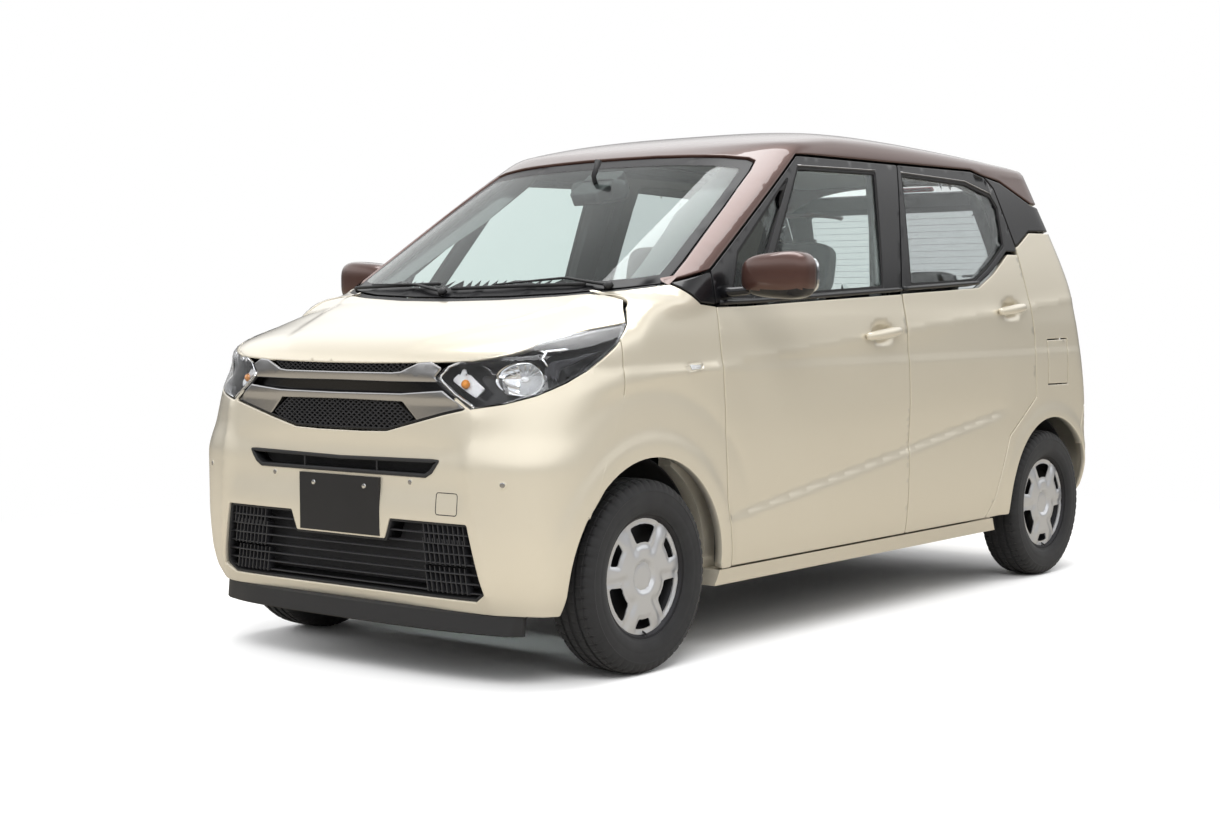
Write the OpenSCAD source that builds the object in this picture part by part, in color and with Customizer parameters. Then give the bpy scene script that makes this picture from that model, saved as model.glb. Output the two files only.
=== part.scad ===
// Five-door kei car: hollow body shell split into its real panels, with hinged
// doors, bonnet, tailgate and fuel flap, steered front wheels and a cabin.
// +X is the car's left side, -Y its front, +Z up; the origin is on the ground
// at the middle of its length and width.

/* [Overall] */
// Distance between the front and rear axles
wheelbase = 2495; // [2300:5:2750]
// Distance from the front axle to the foremost point
front_overhang = 515; // [480:5:600]
// Distance from the rear axle to the rearmost point
rear_overhang = 385; // [360:5:460]
// Width of the body without its mirrors
body_width = 1475; // [1440:5:1600]
// Height of the roof above the ground
body_height = 1640; // [1560:5:1760]

/* [Wheels] */
// Distance between the front tyres' centre lines
track_front = 1300; // [1270:5:1330]
// Distance between the rear tyres' centre lines
track_rear = 1290; // [1270:5:1330]
// Outer radius of the tyres
tyre_radius = 278; // [265:1:295]
// Width of the tyres
tyre_width = 155; // [135:5:165]
// Radius of the rim under the tyre's beads
rim_radius = 178; // [165:1:185]
// Gap between the tyre and the wheel arch
arch_gap = 60; // [50:1:70]

/* [Panels] */
// Thickness of a door from its skin to its trim
door_wall = 62; // [45:1:75]
// Thickness of the roof, bonnet and other top panels
top_wall = 40; // [25:1:50]
// Gap round each panel that opens
panel_gap = 5; // [4:0.5:8]
// Gap between two parts that rest on each other
seat_gap = 0.3; // [0.2:0.05:0.5]
// Thickness of the window glass
glass_wall = 5; // [3:0.5:8]

/* [Fittings] */
// Width of a blank number plate
plate_w = 330; // [300:5:380]
// Height of a blank number plate
plate_h = 165; // [110:5:180]
// Distance between a plate's two bolt holes
plate_bolts = 210; // [150:5:240]
// Radius of a plate's bolt holes
plate_bolt_r = 3; // [2.5:0.5:4]
// Outer radius of the steering wheel
wheel_rim_r = 185; // [170:1:195]
// Radius of the kingpins that the front wheels turn on
kingpin_r = 12; // [9:1:14]
// Radius of the stub axles
axle_r = 15; // [12:1:18]

/* [Hidden] */
$fn = 48;
slit = 0.1;
pin_gap = 0.1;

// The body's shape is drawn once at its standard size and stretched to the driving dimensions.
std_width = 1475;
std_height = 1640;
std_wheelbase = 2495;
std_front = 515;
std_rear = 385;
std_front_axle = -1182.5;
std_rear_axle = 1312.5;
body_length = front_overhang + wheelbase + rear_overhang;
front_axle = -body_length / 2 + front_overhang;
rear_axle = front_axle + wheelbase;
arch_radius = tyre_radius + arch_gap;

function X(x) = x * body_width / std_width;
function Y(y) =
    y < std_front_axle ? front_axle + (y - std_front_axle) * front_overhang / std_front
    : y < std_rear_axle ? front_axle + (y - std_front_axle) * wheelbase / std_wheelbase
    : rear_axle + (y - std_rear_axle) * rear_overhang / std_rear;
function Z(z) = z * body_height / std_height;
function reverse(list) = [for (i = [len(list) - 1:-1:0]) list[i]];

// Half width of the body, foremost and rearmost points against height.
side_line = [[210, 706], [262, 722], [330, 731], [450, 736.5], [600, 737], [700, 737.5],
    [820, 736.5], [940, 732], [1050, 717], [1100, 710], [1300, 675], [1450, 647], [1530, 628], [1650, 603]];
nose_line = [[210, -1652], [262, -1676], [330, -1688], [450, -1693], [600, -1693],
    [700, -1686], [800, -1690], [870, -1694], [1110, -1694]];
tail_line = [[210, 1640], [262, 1664], [330, 1690], [450, 1697.5], [620, 1697.5], [750, 1692],
    [870, 1685], [1017, 1672], [1100, 1656], [1200, 1612], [1318, 1544], [1418, 1482],
    [1532, 1421], [1650, 1358]];
// Squareness of the front and rear corners in plan, against height.
nose_square = [[600, 5.4], [700, 4.4], [800, 3.6], [870, 3]];
tail_square = [[620, 5], [1017, 3]];
nose_corner = -1200;
tail_corner = 200;
// The windscreen's centre line, the depth of its curve and its squareness.
screen_line = [[1000, -1326], [1540, -400], [1650, -211]];
screen_depth = [[1000, 370], [1114, 331], [1514, 245], [1650, 235]];
screen_square = [[1114, 3.1], [1514, 3.5]];
// Height of the bonnet's and the roof's centre lines against length.
bonnet_line = [[-1694, 884], [-1686, 901], [-1672, 918], [-1648, 935], [-1600, 957],
    [-1500, 986], [-1400, 1013], [-1300, 1042], [-1236, 1059], [-1142, 1085], [-1050, 1096]];
bonnet_square = [[-1500, 3.1], [-1236, 3.9], [-1142, 7], [-1050, 8]];
roof_line = [[-400, 1543], [-300, 1577], [-200, 1603], [-100, 1621], [0, 1633], [100, 1639],
    [200, 1640], [400, 1636], [600, 1628], [800, 1617], [1000, 1602], [1200, 1583],
    [1325, 1569], [1422, 1557], [1700, 1523]];
roof_square = 3.2;
rail_height = 1525;
hood_base = 870;

low_levels = [210, 262, 330, 450, 600, 700, 800, 870];
hood_levels = [870, 940, 1000, 1050, 1110];
cabin_levels = [1000, 1060, 1114, 1200, 1318, 1418, 1532, 1650];
hood_stations = [-1694, -1686, -1672, -1648, -1600, -1500, -1400, -1300, -1236, -1142, -1050, 1700];
roof_stations = [-1400, -400, -300, -200, -100, 50, 200, 400, 700, 1000, 1200, 1325, 1422, 1700];

// Quarter of a superellipse from its tip (0, d) to its side (w, 0).
function bow(w, d, p, n) =
    [for (i = [0:n]) let(a = 90 * i / n) [w * pow(sin(a), 2 / p), d * pow(cos(a), 2 / p)]];
function loop(w, tip, depth, p, end, end_depth, end_p) =
    let(front = [for (q = bow(w, depth, p, 6)) [q[0], tip + depth - q[1]]],
        back = reverse([for (q = bow(w, end_depth, end_p, 6)) [q[0], end - end_depth + q[1]]]),
        half = concat(front, back))
    concat(half, [for (q = reverse(half)) [-q[0], q[1]]]);
function low_loop(z, t) =
    let(tip = lookup(z, nose_line) + t)
    loop(lookup(z, side_line) - t, tip, nose_corner - tip, lookup(z, nose_square),
        lookup(z, tail_line) - t, tail_corner - t, lookup(z, tail_square));
function cabin_loop(z, t) =
    loop(lookup(z, side_line) - t, lookup(z, screen_line) + t, lookup(z, screen_depth) - t,
        lookup(z, screen_square), lookup(z, tail_line) - t, tail_corner - t,
        lookup(z, tail_square));
function hood_half(y, t) =
    let(reach = (nose_corner - y) / (nose_corner - nose_line[8][1] - t))
    (lookup(hood_base, side_line) + 1 - t) * (reach <= 0 ? 1 : pow(max(0.001, 1 - pow(reach, 3)), 1 / 3));
function hood_section(y, t, top) =
    let(half = hood_half(y, t), rise = max(2, lookup(y, bonnet_line) - top - hood_base),
        side = [for (q = bow(half, rise, lookup(y, bonnet_square), 6)) [q[0], hood_base + q[1]]])
    concat([[-half, hood_base - 40], [half, hood_base - 40]], reverse(side),
        [for (q = side) [-q[0], q[1]]]);
function roof_section(y, t, top) =
    let(half = lookup(rail_height, side_line) - t,
        rise = max(2, lookup(y, roof_line) - top - rail_height),
        side = [for (q = bow(half, rise, roof_square, 6)) [q[0], rail_height + q[1]]])
    concat([[-half - 150, 900], [half + 150, 900]], reverse(side),
        [for (q = side) [-q[0], q[1]]]);

module slice(z, outline)
    translate([0, 0, Z(z)]) linear_extrude(slit) polygon([for (p = outline) [X(p[0]), Y(p[1])]]);
module station(y, outline)
    translate([0, Y(y), 0]) rotate([90, 0, 0]) linear_extrude(slit)
        polygon([for (p = outline) [X(p[0]), Z(p[1])]]);
module low_stack(levels, t)
    for (i = [0:len(levels) - 2]) hull() {
        slice(levels[i], low_loop(levels[i], t));
        slice(levels[i + 1], low_loop(levels[i + 1], t));
    }
module cabin_stack(t)
    for (i = [0:len(cabin_levels) - 2]) hull() {
        slice(cabin_levels[i], cabin_loop(cabin_levels[i], t));
        slice(cabin_levels[i + 1], cabin_loop(cabin_levels[i + 1], t));
    }
module hood_chain(t, top)
    for (i = [0:len(hood_stations) - 2]) hull() {
        station(hood_stations[i], hood_section(hood_stations[i], t, top));
        station(hood_stations[i + 1], hood_section(hood_stations[i + 1], t, top));
    }
module roof_chain(t, top)
    for (i = [0:len(roof_stations) - 2]) hull() {
        station(roof_stations[i], roof_section(roof_stations[i], t, top));
        station(roof_stations[i + 1], roof_section(roof_stations[i + 1], t, top));
    }
// The whole body as one solid, moved in by t at its sides and ends and by top at its top.
module body_solid(t, top) {
    low_stack(t > 0 ? concat([100], low_levels) : low_levels, t);
    intersection() {
        low_stack(hood_levels, t);
        hood_chain(t, top);
    }
    intersection() {
        cabin_stack(t);
        roof_chain(t, top);
    }
}
// A layer of the body between two depths.
module layer(t0, top0, t1, top1) difference() {
    body_solid(t0, top0);
    body_solid(t1, top1);
}
fixed_wall = door_wall + panel_gap - seat_gap;
ring_depth = door_wall + panel_gap;
frame_depth = ring_depth + 45;
module fixed_shell() layer(0, 0, fixed_wall, top_wall);
module moving_shell() layer(0, 0, door_wall, top_wall);

// Regions: outlines in the side, front and top views, pushed through the body.
module side_region(points, from, to, grow = 0)
    for (s = [-1, 1])
        translate([s > 0 ? X(from) : -X(to), 0, 0]) rotate([90, 0, 90]) linear_extrude(X(to - from))
            offset(delta = grow) polygon([for (p = points) [Y(p[0]), Z(p[1])]]);
module front_region(points, from, to, grow = 0)
    translate([0, Y(to), 0]) rotate([90, 0, 0]) linear_extrude(Y(to) - Y(from))
        offset(delta = grow) polygon([for (p = points) [X(p[0]), Z(p[1])]]);
module top_region(points, from, to, grow = 0)
    translate([0, 0, Z(from)]) linear_extrude(Z(to - from))
        offset(delta = grow) polygon([for (p = points) [X(p[0]), Y(p[1])]]);
module arches(extra = 0) {
    for (s = [-1, 1]) {
        translate([s * 597.5, front_axle, tyre_radius]) rotate([0, 90, 0])
            cylinder(r = arch_radius + extra, h = 405, center = true);
        translate([s * 677.5, rear_axle, tyre_radius]) rotate([0, 90, 0])
            cylinder(r = arch_radius - 10 + extra, h = 255, center = true);
    }
}

// Outlines of the panels in the side view, as [y, z].
front_door_line = [[-848, 1147], [-847, 955], [-828, 743], [-814, 466], [-783, 262], [236, 262],
    [247, 707], [226, 1062], [345, 1526], [-277, 1523]];
rear_door_line = [[236, 262], [805, 262], [864, 326], [973, 556], [1080, 625], [1178, 690],
    [1176, 922], [1111, 1255], [1020, 1470], [960, 1512], [866, 1529], [345, 1526], [226, 1062],
    [247, 707]];
front_window_line = [[-800, 1052], [109, 1092], [188, 1491], [-284, 1483], [-790, 1150]];
rear_window_line = [[290, 1098], [765, 1113], [880, 1150], [1036, 1241], [1031, 1400],
    [985, 1445], [804, 1484], [358, 1494]];
bonnet_edge = [[-1800, 886], [-1640, 894], [-1480, 955], [-1236, 999], [-1142, 1089],
    [-1090, 1092], [-1090, 1300], [-1800, 1300]];
fender_line = [[-1310, 560], [-1300, 955], [-1236, 999], [-1200, 1130], [-1004, 1113],
    [-922, 1050], [-848, 1025], [-780, 1000], [-780, 262], [-880, 262], [-1182, 262]];
roof_side_line = [[-1004, 1113], [-848, 1147], [-780, 1180], [-277, 1500], [866, 1500],
    [880, 1528], [1080, 1497], [1300, 1420], [1500, 1418], [1500, 1700], [-1004, 1700]];
sill_line = [[-886, 205], [-886, 259], [866, 259], [915, 205]];
quarter_line = [[780, 262], [780, 700], [1080, 1262], [1135, 1262], [1240, 1313],
    [1497, 1316.6], [1545, 1120], [1558, 1041], [1640, 893], [1720, 893], [1720, 652], [1600, 640],
    [1560, 560], [1515, 420], [1515, 262]];
pillar_trim_line = [[1080, 1262], [1135, 1262], [1240, 1313], [1600, 1318], [1600, 1417],
    [1300, 1420], [1080, 1497], [880, 1528], [866, 1500]];
tail_lamp_line = [[1497, 1316.6], [1545, 1120], [1558, 1041], [1640, 893], [1720, 893],
    [1720, 1316.6]];
fuel_flap_line = [[1279, 735], [1279, 905], [1446, 907], [1446, 733]];
mirror_foot_line = [[-1004, 1113], [-848, 1147], [-800, 1100], [-848, 1025], [-922, 1050]];

// Outlines in the front and rear views, as [x, z].
lamp_front = [[350, 900], [366, 849], [500, 768], [650, 804], [800, 840], [800, 1100], [350, 1100]];
lamp_side = [[-1800, 700], [-1560, 804], [-1420, 874], [-1236, 999], [-1236, 1100], [-1800, 1100]];
grille_front = [[-366, 849], [-500, 768], [-382, 700], [382, 700], [500, 768], [366, 849],
    [350, 920], [-350, 920]];
lower_intake = [[-489, 452], [-535, 262], [-520, 243], [520, 243], [535, 262], [489, 452],
    [200, 452], [180, 396], [-180, 396], [-200, 452]];
upper_intake = [[-374, 622], [-360, 576], [360, 576], [374, 622]];
screen_front = [[-655, 1108], [-400, 1084], [0, 1074], [400, 1084], [655, 1108], [557, 1508],
    [300, 1530], [0, 1537], [-300, 1530], [-557, 1508]];
tailgate_back = [[-600, 645], [600, 645], [606, 900], [592, 1050], [566, 1318], [553, 1450],
    [553, 1800], [-553, 1800], [-553, 1450], [-566, 1318], [-592, 1050], [-606, 900]];
rear_glass_back = [[-530, 1075], [530, 1075], [505, 1300], [460, 1460], [-460, 1460],
    [-505, 1300]];
roof_end = 1325;
cowl_top = [[-700, -1100], [-560, -1148], [-400, -1196], [-200, -1233], [0, -1245],
    [200, -1233], [400, -1196], [560, -1148], [700, -1100], [700, -800], [-700, -800]];
fender_inset = 450;
outside = 800;

module door_zones(grow) {
    side_region(front_door_line, fender_inset, outside, grow);
    side_region(rear_door_line, fender_inset, outside, grow);
}
module bonnet_zone(grow) difference() {
    side_region(bonnet_edge, 0, outside, grow);
    top_region(cowl_top, 900, 1400, -grow);
}
module screen_zone(grow) front_region(screen_front, -1400, -300, grow);
module cowl_zone(grow) intersection() {
    top_region(cowl_top, 900, 1400, grow);
    front_region([[-644, 900], [644, 900], [644, 1400], [-644, 1400]], -1400, -850, grow);
}
module tailgate_zone(grow) front_region(tailgate_back, roof_end - grow, 1800, grow);
module lamp_zone(grow) intersection() {
    for (s = [0, 1]) mirror([s, 0, 0]) front_region(lamp_front, -1800, -1200, grow);
    side_region(lamp_side, 0, outside, grow);
}
module grille_zone(grow) front_region(grille_front, -1800, -1500, grow);
module tail_lamp_zone(grow) side_region(tail_lamp_line, 500, outside, grow);
module opening_panels(grow) {
    door_zones(grow);
    bonnet_zone(grow);
    tailgate_zone(grow);
}
half_gap = panel_gap / 2;
half_seat = seat_gap / 2;
flap_wall = 24.7;

/* Fixed outer panels */
module front_fenders() color("antiquewhite") difference() {
    intersection() {
        fixed_shell();
        side_region(fender_line, fender_inset, outside, -half_seat);
    }
    opening_panels(half_gap);
    screen_zone(half_seat);
    cowl_zone(half_seat);
    arches();
}
module rear_quarters() color("antiquewhite") difference() {
    intersection() {
        fixed_shell();
        side_region(quarter_line, 500, outside, -half_seat);
    }
    opening_panels(half_gap);
    arches();
    difference() {
        intersection() {
            side_region(fuel_flap_line, 600, outside, half_gap);
            left_half();
        }
        body_solid(flap_wall + 6, 0);
        intersection() {
            body_solid(flap_wall + seat_gap, 0);
            translate([0, Y(1362), Z(820)]) rotate([0, 90, 0]) cylinder(r = 40, h = X(outside));
        }
    }
}
// Black rear pillar covers, and the black triangles that carry the mirrors' lines forward.
module pillar_trims() color("#202124") difference() {
    intersection() {
        fixed_shell();
        union() {
            side_region(pillar_trim_line, 450, outside, -half_seat);
            side_region(mirror_foot_line, fender_inset, outside, -half_seat);
        }
    }
    opening_panels(half_gap);
    screen_zone(half_seat);
    cowl_zone(half_seat);
}
module roof() color("#6b4a47") difference() {
    intersection() {
        fixed_shell();
        side_region(roof_side_line, 0, outside, -half_seat);
    }
    opening_panels(half_gap);
    screen_zone(half_seat);
}
module windscreen() color("#5d6a6c", 0.5) intersection() {
    layer(8, 5, 8 + 2 * glass_wall, 5 + glass_wall);
    screen_zone(-half_seat);
}
module cowl_panel() color("#1b1c1e") difference() {
    intersection() {
        layer(2, 2, fixed_wall, top_wall);
        cowl_zone(-half_seat);
    }
    screen_zone(half_seat);
    side_region(roof_side_line, 0, outside, half_seat);
    bonnet_zone(half_gap);
}
module front_bumper() color("antiquewhite") difference() {
    intersection() {
        fixed_shell();
        side_region([[-1800, 200], [-1310, 200], [-1310, 590], [-1300, 955], [-1300, 999],
            [-1800, 999]], 0, outside, -half_seat);
    }
    bonnet_zone(half_gap);
    lamp_zone(half_seat);
    grille_zone(half_seat);
    arches();
    front_region(lower_intake, -1800, -1400);
    front_region(upper_intake, -1800, -1600);
    translate([0, -body_length / 2, Z(486)])
        cube([plate_w + seat_gap, 2 * (carrier_depth + seat_gap), plate_h + seat_gap], center = true);
}
module rear_bumper() color("antiquewhite") difference() {
    intersection() {
        fixed_shell();
        side_region([[1400, 205], [1515, 205], [1515, 420], [1560, 560], [1600, 640],
            [1800, 640], [1800, 205]], 0, outside, -half_seat);
    }
    tailgate_zone(half_gap);
    arches();
}
module headlamps() color("#dfe3e6") difference() {
    intersection() {
        fixed_shell();
        lamp_zone(-half_seat);
    }
    bonnet_zone(half_gap);
    arches();
}
module tail_lamps() color("#8c1c1f") difference() {
    intersection() {
        fixed_shell();
        tail_lamp_zone(-half_seat);
    }
    tailgate_zone(half_gap);
}
module upper_grille() color("#9a9c9f") difference() {
    intersection() {
        fixed_shell();
        grille_zone(-half_seat);
    }
    bonnet_zone(half_gap);
    lamp_zone(half_seat);
}
// Slats across the two air intakes.
module lower_grille() color("#17181a") intersection() {
    layer(22, 0, 52, 0);
    union() {
        front_region(upper_intake, -1800, -1600, -seat_gap);
        intersection() {
            front_region(lower_intake, -1800, -1400, -seat_gap);
            union() {
                for (z = [243:30:440]) front_region([[-560, z], [560, z], [560, z + 12],
                    [-560, z + 12]], -1800, -1400);
                for (x = [-300, 300]) front_region([[x - 8, 240], [x + 8, 240], [x + 8, 460],
                    [x - 8, 460]], -1800, -1400);
            }
        }
    }
}
module chin_spoiler() color("#17181a") difference() {
    hull() for (i = [0:4]) {
        x = [0, 300, 500, 590, 612][i];
        y = [-1671, -1664, -1642, -1612, -1590][i];
        for (s = [-1, 1]) translate([X(s * x), Y(y) + 6, Z(152)])
            cylinder(r = 6, h = Z(210) - Z(152) - seat_gap, $fn = 16);
    }
    translate([0, Y(-1520), Z(180)]) cube([X(1500), Y(-1510) - Y(-1625), 100], center = true);
}

/* Structure */
floor_z = 200;
floor_wall = 25;
rail_x = 330;
rail_z = 430;
rear_floor_z = 335;
floor_half = X(706) - frame_depth - seat_gap;
bulkhead_y = Y(-900);
bulkhead_wall = 40;
dash_y = bulkhead_y + bulkhead_wall + seat_gap;
module underbody() color("#3c4045") difference() {
    translate([-floor_half, dash_y, Z(floor_z)])
        cube([2 * floor_half, Y(880) - seat_gap - dash_y, floor_wall]);
    arches(6 + seat_gap);
}
module bulkhead() color("#3c4045") difference() {
    union() {
        translate([-floor_half, bulkhead_y, Z(floor_z)])
            cube([2 * floor_half, bulkhead_wall, Z(980) - Z(floor_z)]);
        for (s = [-1, 1]) translate([s * X(rail_x) - 25, Y(-1575) + seat_gap, Z(rail_z)])
            cube([50, bulkhead_y - Y(-1575) - 2 * seat_gap, 70]);
    }
    arches(6 + seat_gap);
}
module rear_floor() color("#3c4045") {
    translate([-X(530), Y(880), Z(floor_z)]) cube([X(1060), 25, Z(360) - Z(floor_z)]);
    translate([-X(530), Y(880), Z(rear_floor_z)])
        cube([X(1060), Y(1606) - Y(880), floor_wall]);
    translate([-X(500), Y(1586), Z(rear_floor_z)])
        cube([X(1000), 20, Z(600) - Z(rear_floor_z)]);
}
module radiator_support() color("#3c4045") intersection() {
    translate([-X(440), Y(-1600), Z(280)]) cube([X(880), 25, Z(1000) - Z(280)]);
    body_solid(fixed_wall + seat_gap, top_wall + seat_gap);
}
module wheelhouse(outer, from, to) difference() {
    rotate([0, 90, 0]) translate([0, 0, from]) cylinder(r = outer, h = to - from);
    rotate([0, 90, 0]) translate([0, 0, from + 4]) cylinder(r = outer - 4, h = to - from);
    translate([from - 1, -outer - 1, -outer - 1]) cube([to - from + 2, 2 * outer + 2, outer + 80]);
}
module rear_wheelhouses() color("#3c4045") for (s = [0, 1]) mirror([s, 0, 0]) difference() {
    translate([0, rear_axle, tyre_radius]) wheelhouse(arch_radius - 3, X(535), X(650));
    translate([0, Y(1570), 0]) cube([X(outside), 300, Z(700)]);
}
module front_wheelhouses() color("#3c4045") for (s = [0, 1]) mirror([s, 0, 0])
    translate([0, front_axle, tyre_radius]) wheelhouse(arch_radius + 6, 395 + seat_gap, X(630));

module ring_zone() difference() {
    side_region([[-1010, 205], [-1010, 1090], [-260, 1560], [880, 1560], [1240, 1450],
        [1240, 205]], 400, outside);
    side_region(front_door_line, 300, outside, -30);
    side_region(rear_door_line, 300, outside, -30);
}
// Door frames, pillars and sills.
module body_sides() color("antiquewhite") difference() {
    union() {
        intersection() {
            layer(ring_depth, top_wall + panel_gap, frame_depth, top_wall + 30);
            ring_zone();
        }
        intersection() {
            layer(0, 0, frame_depth, top_wall);
            side_region(sill_line, fender_inset, outside);
        }
    }
    arches(8 + seat_gap);
    rear_clearance();
}
module tailgate_frame() color("antiquewhite") difference() {
    intersection() {
        layer(ring_depth, top_wall + panel_gap, frame_depth, top_wall + 30);
        front_region([[-620, 615], [620, 615], [620, 1050], [540, 1560], [-540, 1560],
            [-620, 1050]], 1262, 1800);
    }
    front_region(tailgate_back, 1000, 1800, -30);
    arches(8 + seat_gap);
}
// Rubber strips that the doors and the tailgate close on.
module door_seals() color("#151617") intersection() {
    layer(door_wall + seat_gap, top_wall + seat_gap, ring_depth - seat_gap, top_wall + 10);
    union() {
        seal_band(front_door_line);
        seal_band(rear_door_line);
        difference() {
            front_region(tailgate_back, roof_end, 1800, -8);
            front_region(tailgate_back, 1000, 1850, -20);
        }
    }
}
module seal_band(line) difference() {
    side_region(line, 450, outside, -8);
    side_region(line, 440, outside + 10, -20);
}
module rear_clearance() {
    translate([-X(530) - 1, Y(870), Z(150)]) cube([X(1060) + 2, Y(1640) - Y(870), Z(380) - Z(150)]);
}

/* Opening panels */
module bonnet() color("antiquewhite") intersection() {
    layer(0, 0, 45, top_wall);
    bonnet_zone(-half_gap);
}
module tailgate() color("antiquewhite") difference() {
    intersection() {
        moving_shell();
        tailgate_zone(-half_gap);
    }
    front_region(rear_glass_back, 1200, 1800);
    translate([0, Y(1688), Z(820)])
        cube([plate_w + seat_gap, 2 * (carrier_depth + seat_gap), plate_h + seat_gap], center = true);
}
module tailgate_glass() color("#4f5b5d", 0.6) intersection() {
    layer(10, 6, 10 + 1.5 * glass_wall, 6 + glass_wall);
    front_region(rear_glass_back, 1200, 1800, -seat_gap);
}
module fuel_flap() color("antiquewhite") intersection() {
    layer(0, 0, flap_wall, top_wall);
    side_region(fuel_flap_line, 600, outside, -half_gap);
    translate([0, -3000, 0]) cube(6000);
}
module left_half() translate([0, -3000, -100]) cube(6000);
door_lip = 8;
door_skin = 20;
module door(line, window, grip) difference() {
    union() {
        intersection() {
            moving_shell();
            side_region(line, 300, outside, -half_gap - door_lip);
            left_half();
        }
        intersection() {
            layer(0, 0, door_skin, door_skin);
            side_region(line, 300, outside, -half_gap);
            left_half();
        }
        intersection() {
            layer(-26, 0, 6, 0);
            side_region(grip, 600, outside + 40);
            left_half();
        }
    }
    side_region(window, 200, outside + 40);
}
front_grip = [[-40, 934], [-40, 958], [172, 974], [172, 950]];
rear_grip = [[888, 996], [888, 1020], [1090, 1036], [1090, 1012]];
module door_glass(window) intersection() {
    layer(14, 6, 14 + glass_wall, 6 + glass_wall);
    side_region(window, 300, outside, -seat_gap);
    left_half();
}
module front_door_left() color("antiquewhite") door(front_door_line, front_window_line, front_grip);
module front_door_right() mirror([1, 0, 0]) front_door_left();
module rear_door_left() color("antiquewhite") door(rear_door_line, rear_window_line, rear_grip);
module rear_door_right() mirror([1, 0, 0]) rear_door_left();
module front_door_glass_left() color("#5d6a6c", 0.5) door_glass(front_window_line);
module front_door_glass_right() mirror([1, 0, 0]) front_door_glass_left();
module rear_door_glass_left() color("#2c3335", 0.7) door_glass(rear_window_line);
module rear_door_glass_right() mirror([1, 0, 0]) rear_door_glass_left();
module door_mirror_left() color("#6b4a47") difference() {
    union() {
        hull() {
            for (p = [[805, -762, 1168], [960, -724, 1172], [965, -722, 1102], [812, -758, 1092]])
                translate([X(p[0]), Y(p[1]), Z(p[2])]) sphere(r = 28, $fn = 16);
        }
        hull() {
            translate([X(700), Y(-790), Z(1046)]) cube([4, 110, 30]);
            translate([X(800), Y(-760), Z(1075)]) cube([40, 60, 20]);
        }
    }
    body_solid(-seat_gap, 0);
}
module door_mirror_right() mirror([1, 0, 0]) door_mirror_left();
module front_wipers() color("#141516") intersection() {
    layer(-6, -6, 8 - seat_gap, 5 - seat_gap);
    screen_zone(-8);
    union() {
        front_region([[-560, 1130], [-60, 1096], [-60, 1104], [-560, 1140]], -1400, -700);
        front_region([[-20, 1096], [540, 1126], [540, 1136], [-20, 1104]], -1400, -700);
    }
}

/* Plates */
carrier_depth = 22;
module plate(place) color("#1d1e20") translate(place) rotate([90, 0, 0]) difference() {
    translate([-plate_w / 2, -plate_h / 2, 0]) cube([plate_w, plate_h, carrier_depth]);
    for (s = [-1, 1]) translate([s * plate_bolts / 2, plate_h / 3, -1])
        cylinder(r = plate_bolt_r, h = carrier_depth + 2);
}
module front_plate() plate([0, -body_length / 2 + carrier_depth, Z(486)]);
module rear_plate() plate([0, Y(1688), Z(820)]);

/* Cabin */
cabin_floor = Z(floor_z) + floor_wall;
driver_x = -335;
module dashboard() color("#26282b") difference() {
    hull() {
        translate([-X(560), dash_y, Z(700)]) cube([X(1120), 220, 40]);
        translate([-X(575), dash_y, Z(900)]) cube([X(1150), 200, 100]);
        translate([-X(560), dash_y, Z(1000)]) cube([X(1120), 60, 30]);
    }
    on_column() translate([0, 0, 30]) cylinder(r = 25 + seat_gap, h = 280 + seat_gap);
}
wheel_centre = [X(driver_x), Y(-470), Z(960)];
wheel_tilt = 115;
module on_column() translate(wheel_centre) rotate([wheel_tilt, 0, 0]) children();
module steering_column() color("#1c1d1f") on_column() difference() {
    translate([0, 0, 40]) cylinder(r = 25, h = 270);
    translate([0, 0, 39]) cylinder(r = 11 + pin_gap, h = 222);
}
module steering_wheel() color("#18191b") on_column() {
    rotate_extrude() translate([wheel_rim_r - 14, 0]) circle(r = 14);
    cylinder(r = 48, h = 38);
    for (a = [0, 125, 235]) rotate([0, 0, a - 90]) translate([30, -14, 6])
        cube([wheel_rim_r - 40, 28, 12]);
    translate([0, 0, 30]) cylinder(r = 11, h = 225);
}
// A seat as one padded solid: plinth, cushion, back and headrests.
module seat(x, y, half, plinth, heads, head_h) {
    translate([x - half + 20, y, cabin_floor + seat_gap]) cube([2 * half - 40, plinth, 145]);
    hull() {
        translate([x - half, y - 40, cabin_floor + 142]) cube([2 * half, 470, 90]);
        translate([x - half + 20, y - 20, cabin_floor + 232]) cube([2 * half - 40, 430, 45]);
    }
    translate([0, y + 380, cabin_floor + 220]) rotate([-14, 0, 0]) {
        translate([x - half + 10, 0, 0]) cube([2 * half - 20, 110, 620]);
        for (h = heads) translate([x + h - 120, 20, 600]) cube([240, 70, head_h]);
    }
}
module front_seats() color("#2a2725")
    for (s = [-1, 1]) seat(s * X(325), Y(-300), 225, 380, [0], 190);
module rear_seat() color("#2a2725") seat(0, Y(600), X(510), Y(875) - Y(600), [-X(300), X(300)], 120);
module cabin_mirror() color("#141516") difference() {
    union() {
        translate([-60, Y(-560), Z(1390)]) cube([120, 120, 150]);
        translate([-120, Y(-500), Z(1330)]) cube([240, 30, 65]);
    }
    difference() {
        translate([-200, Y(-700), Z(1300)]) cube([400, 400, 400]);
        body_solid(8 + 2 * glass_wall + 0.6, 50);
    }
}

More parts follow.
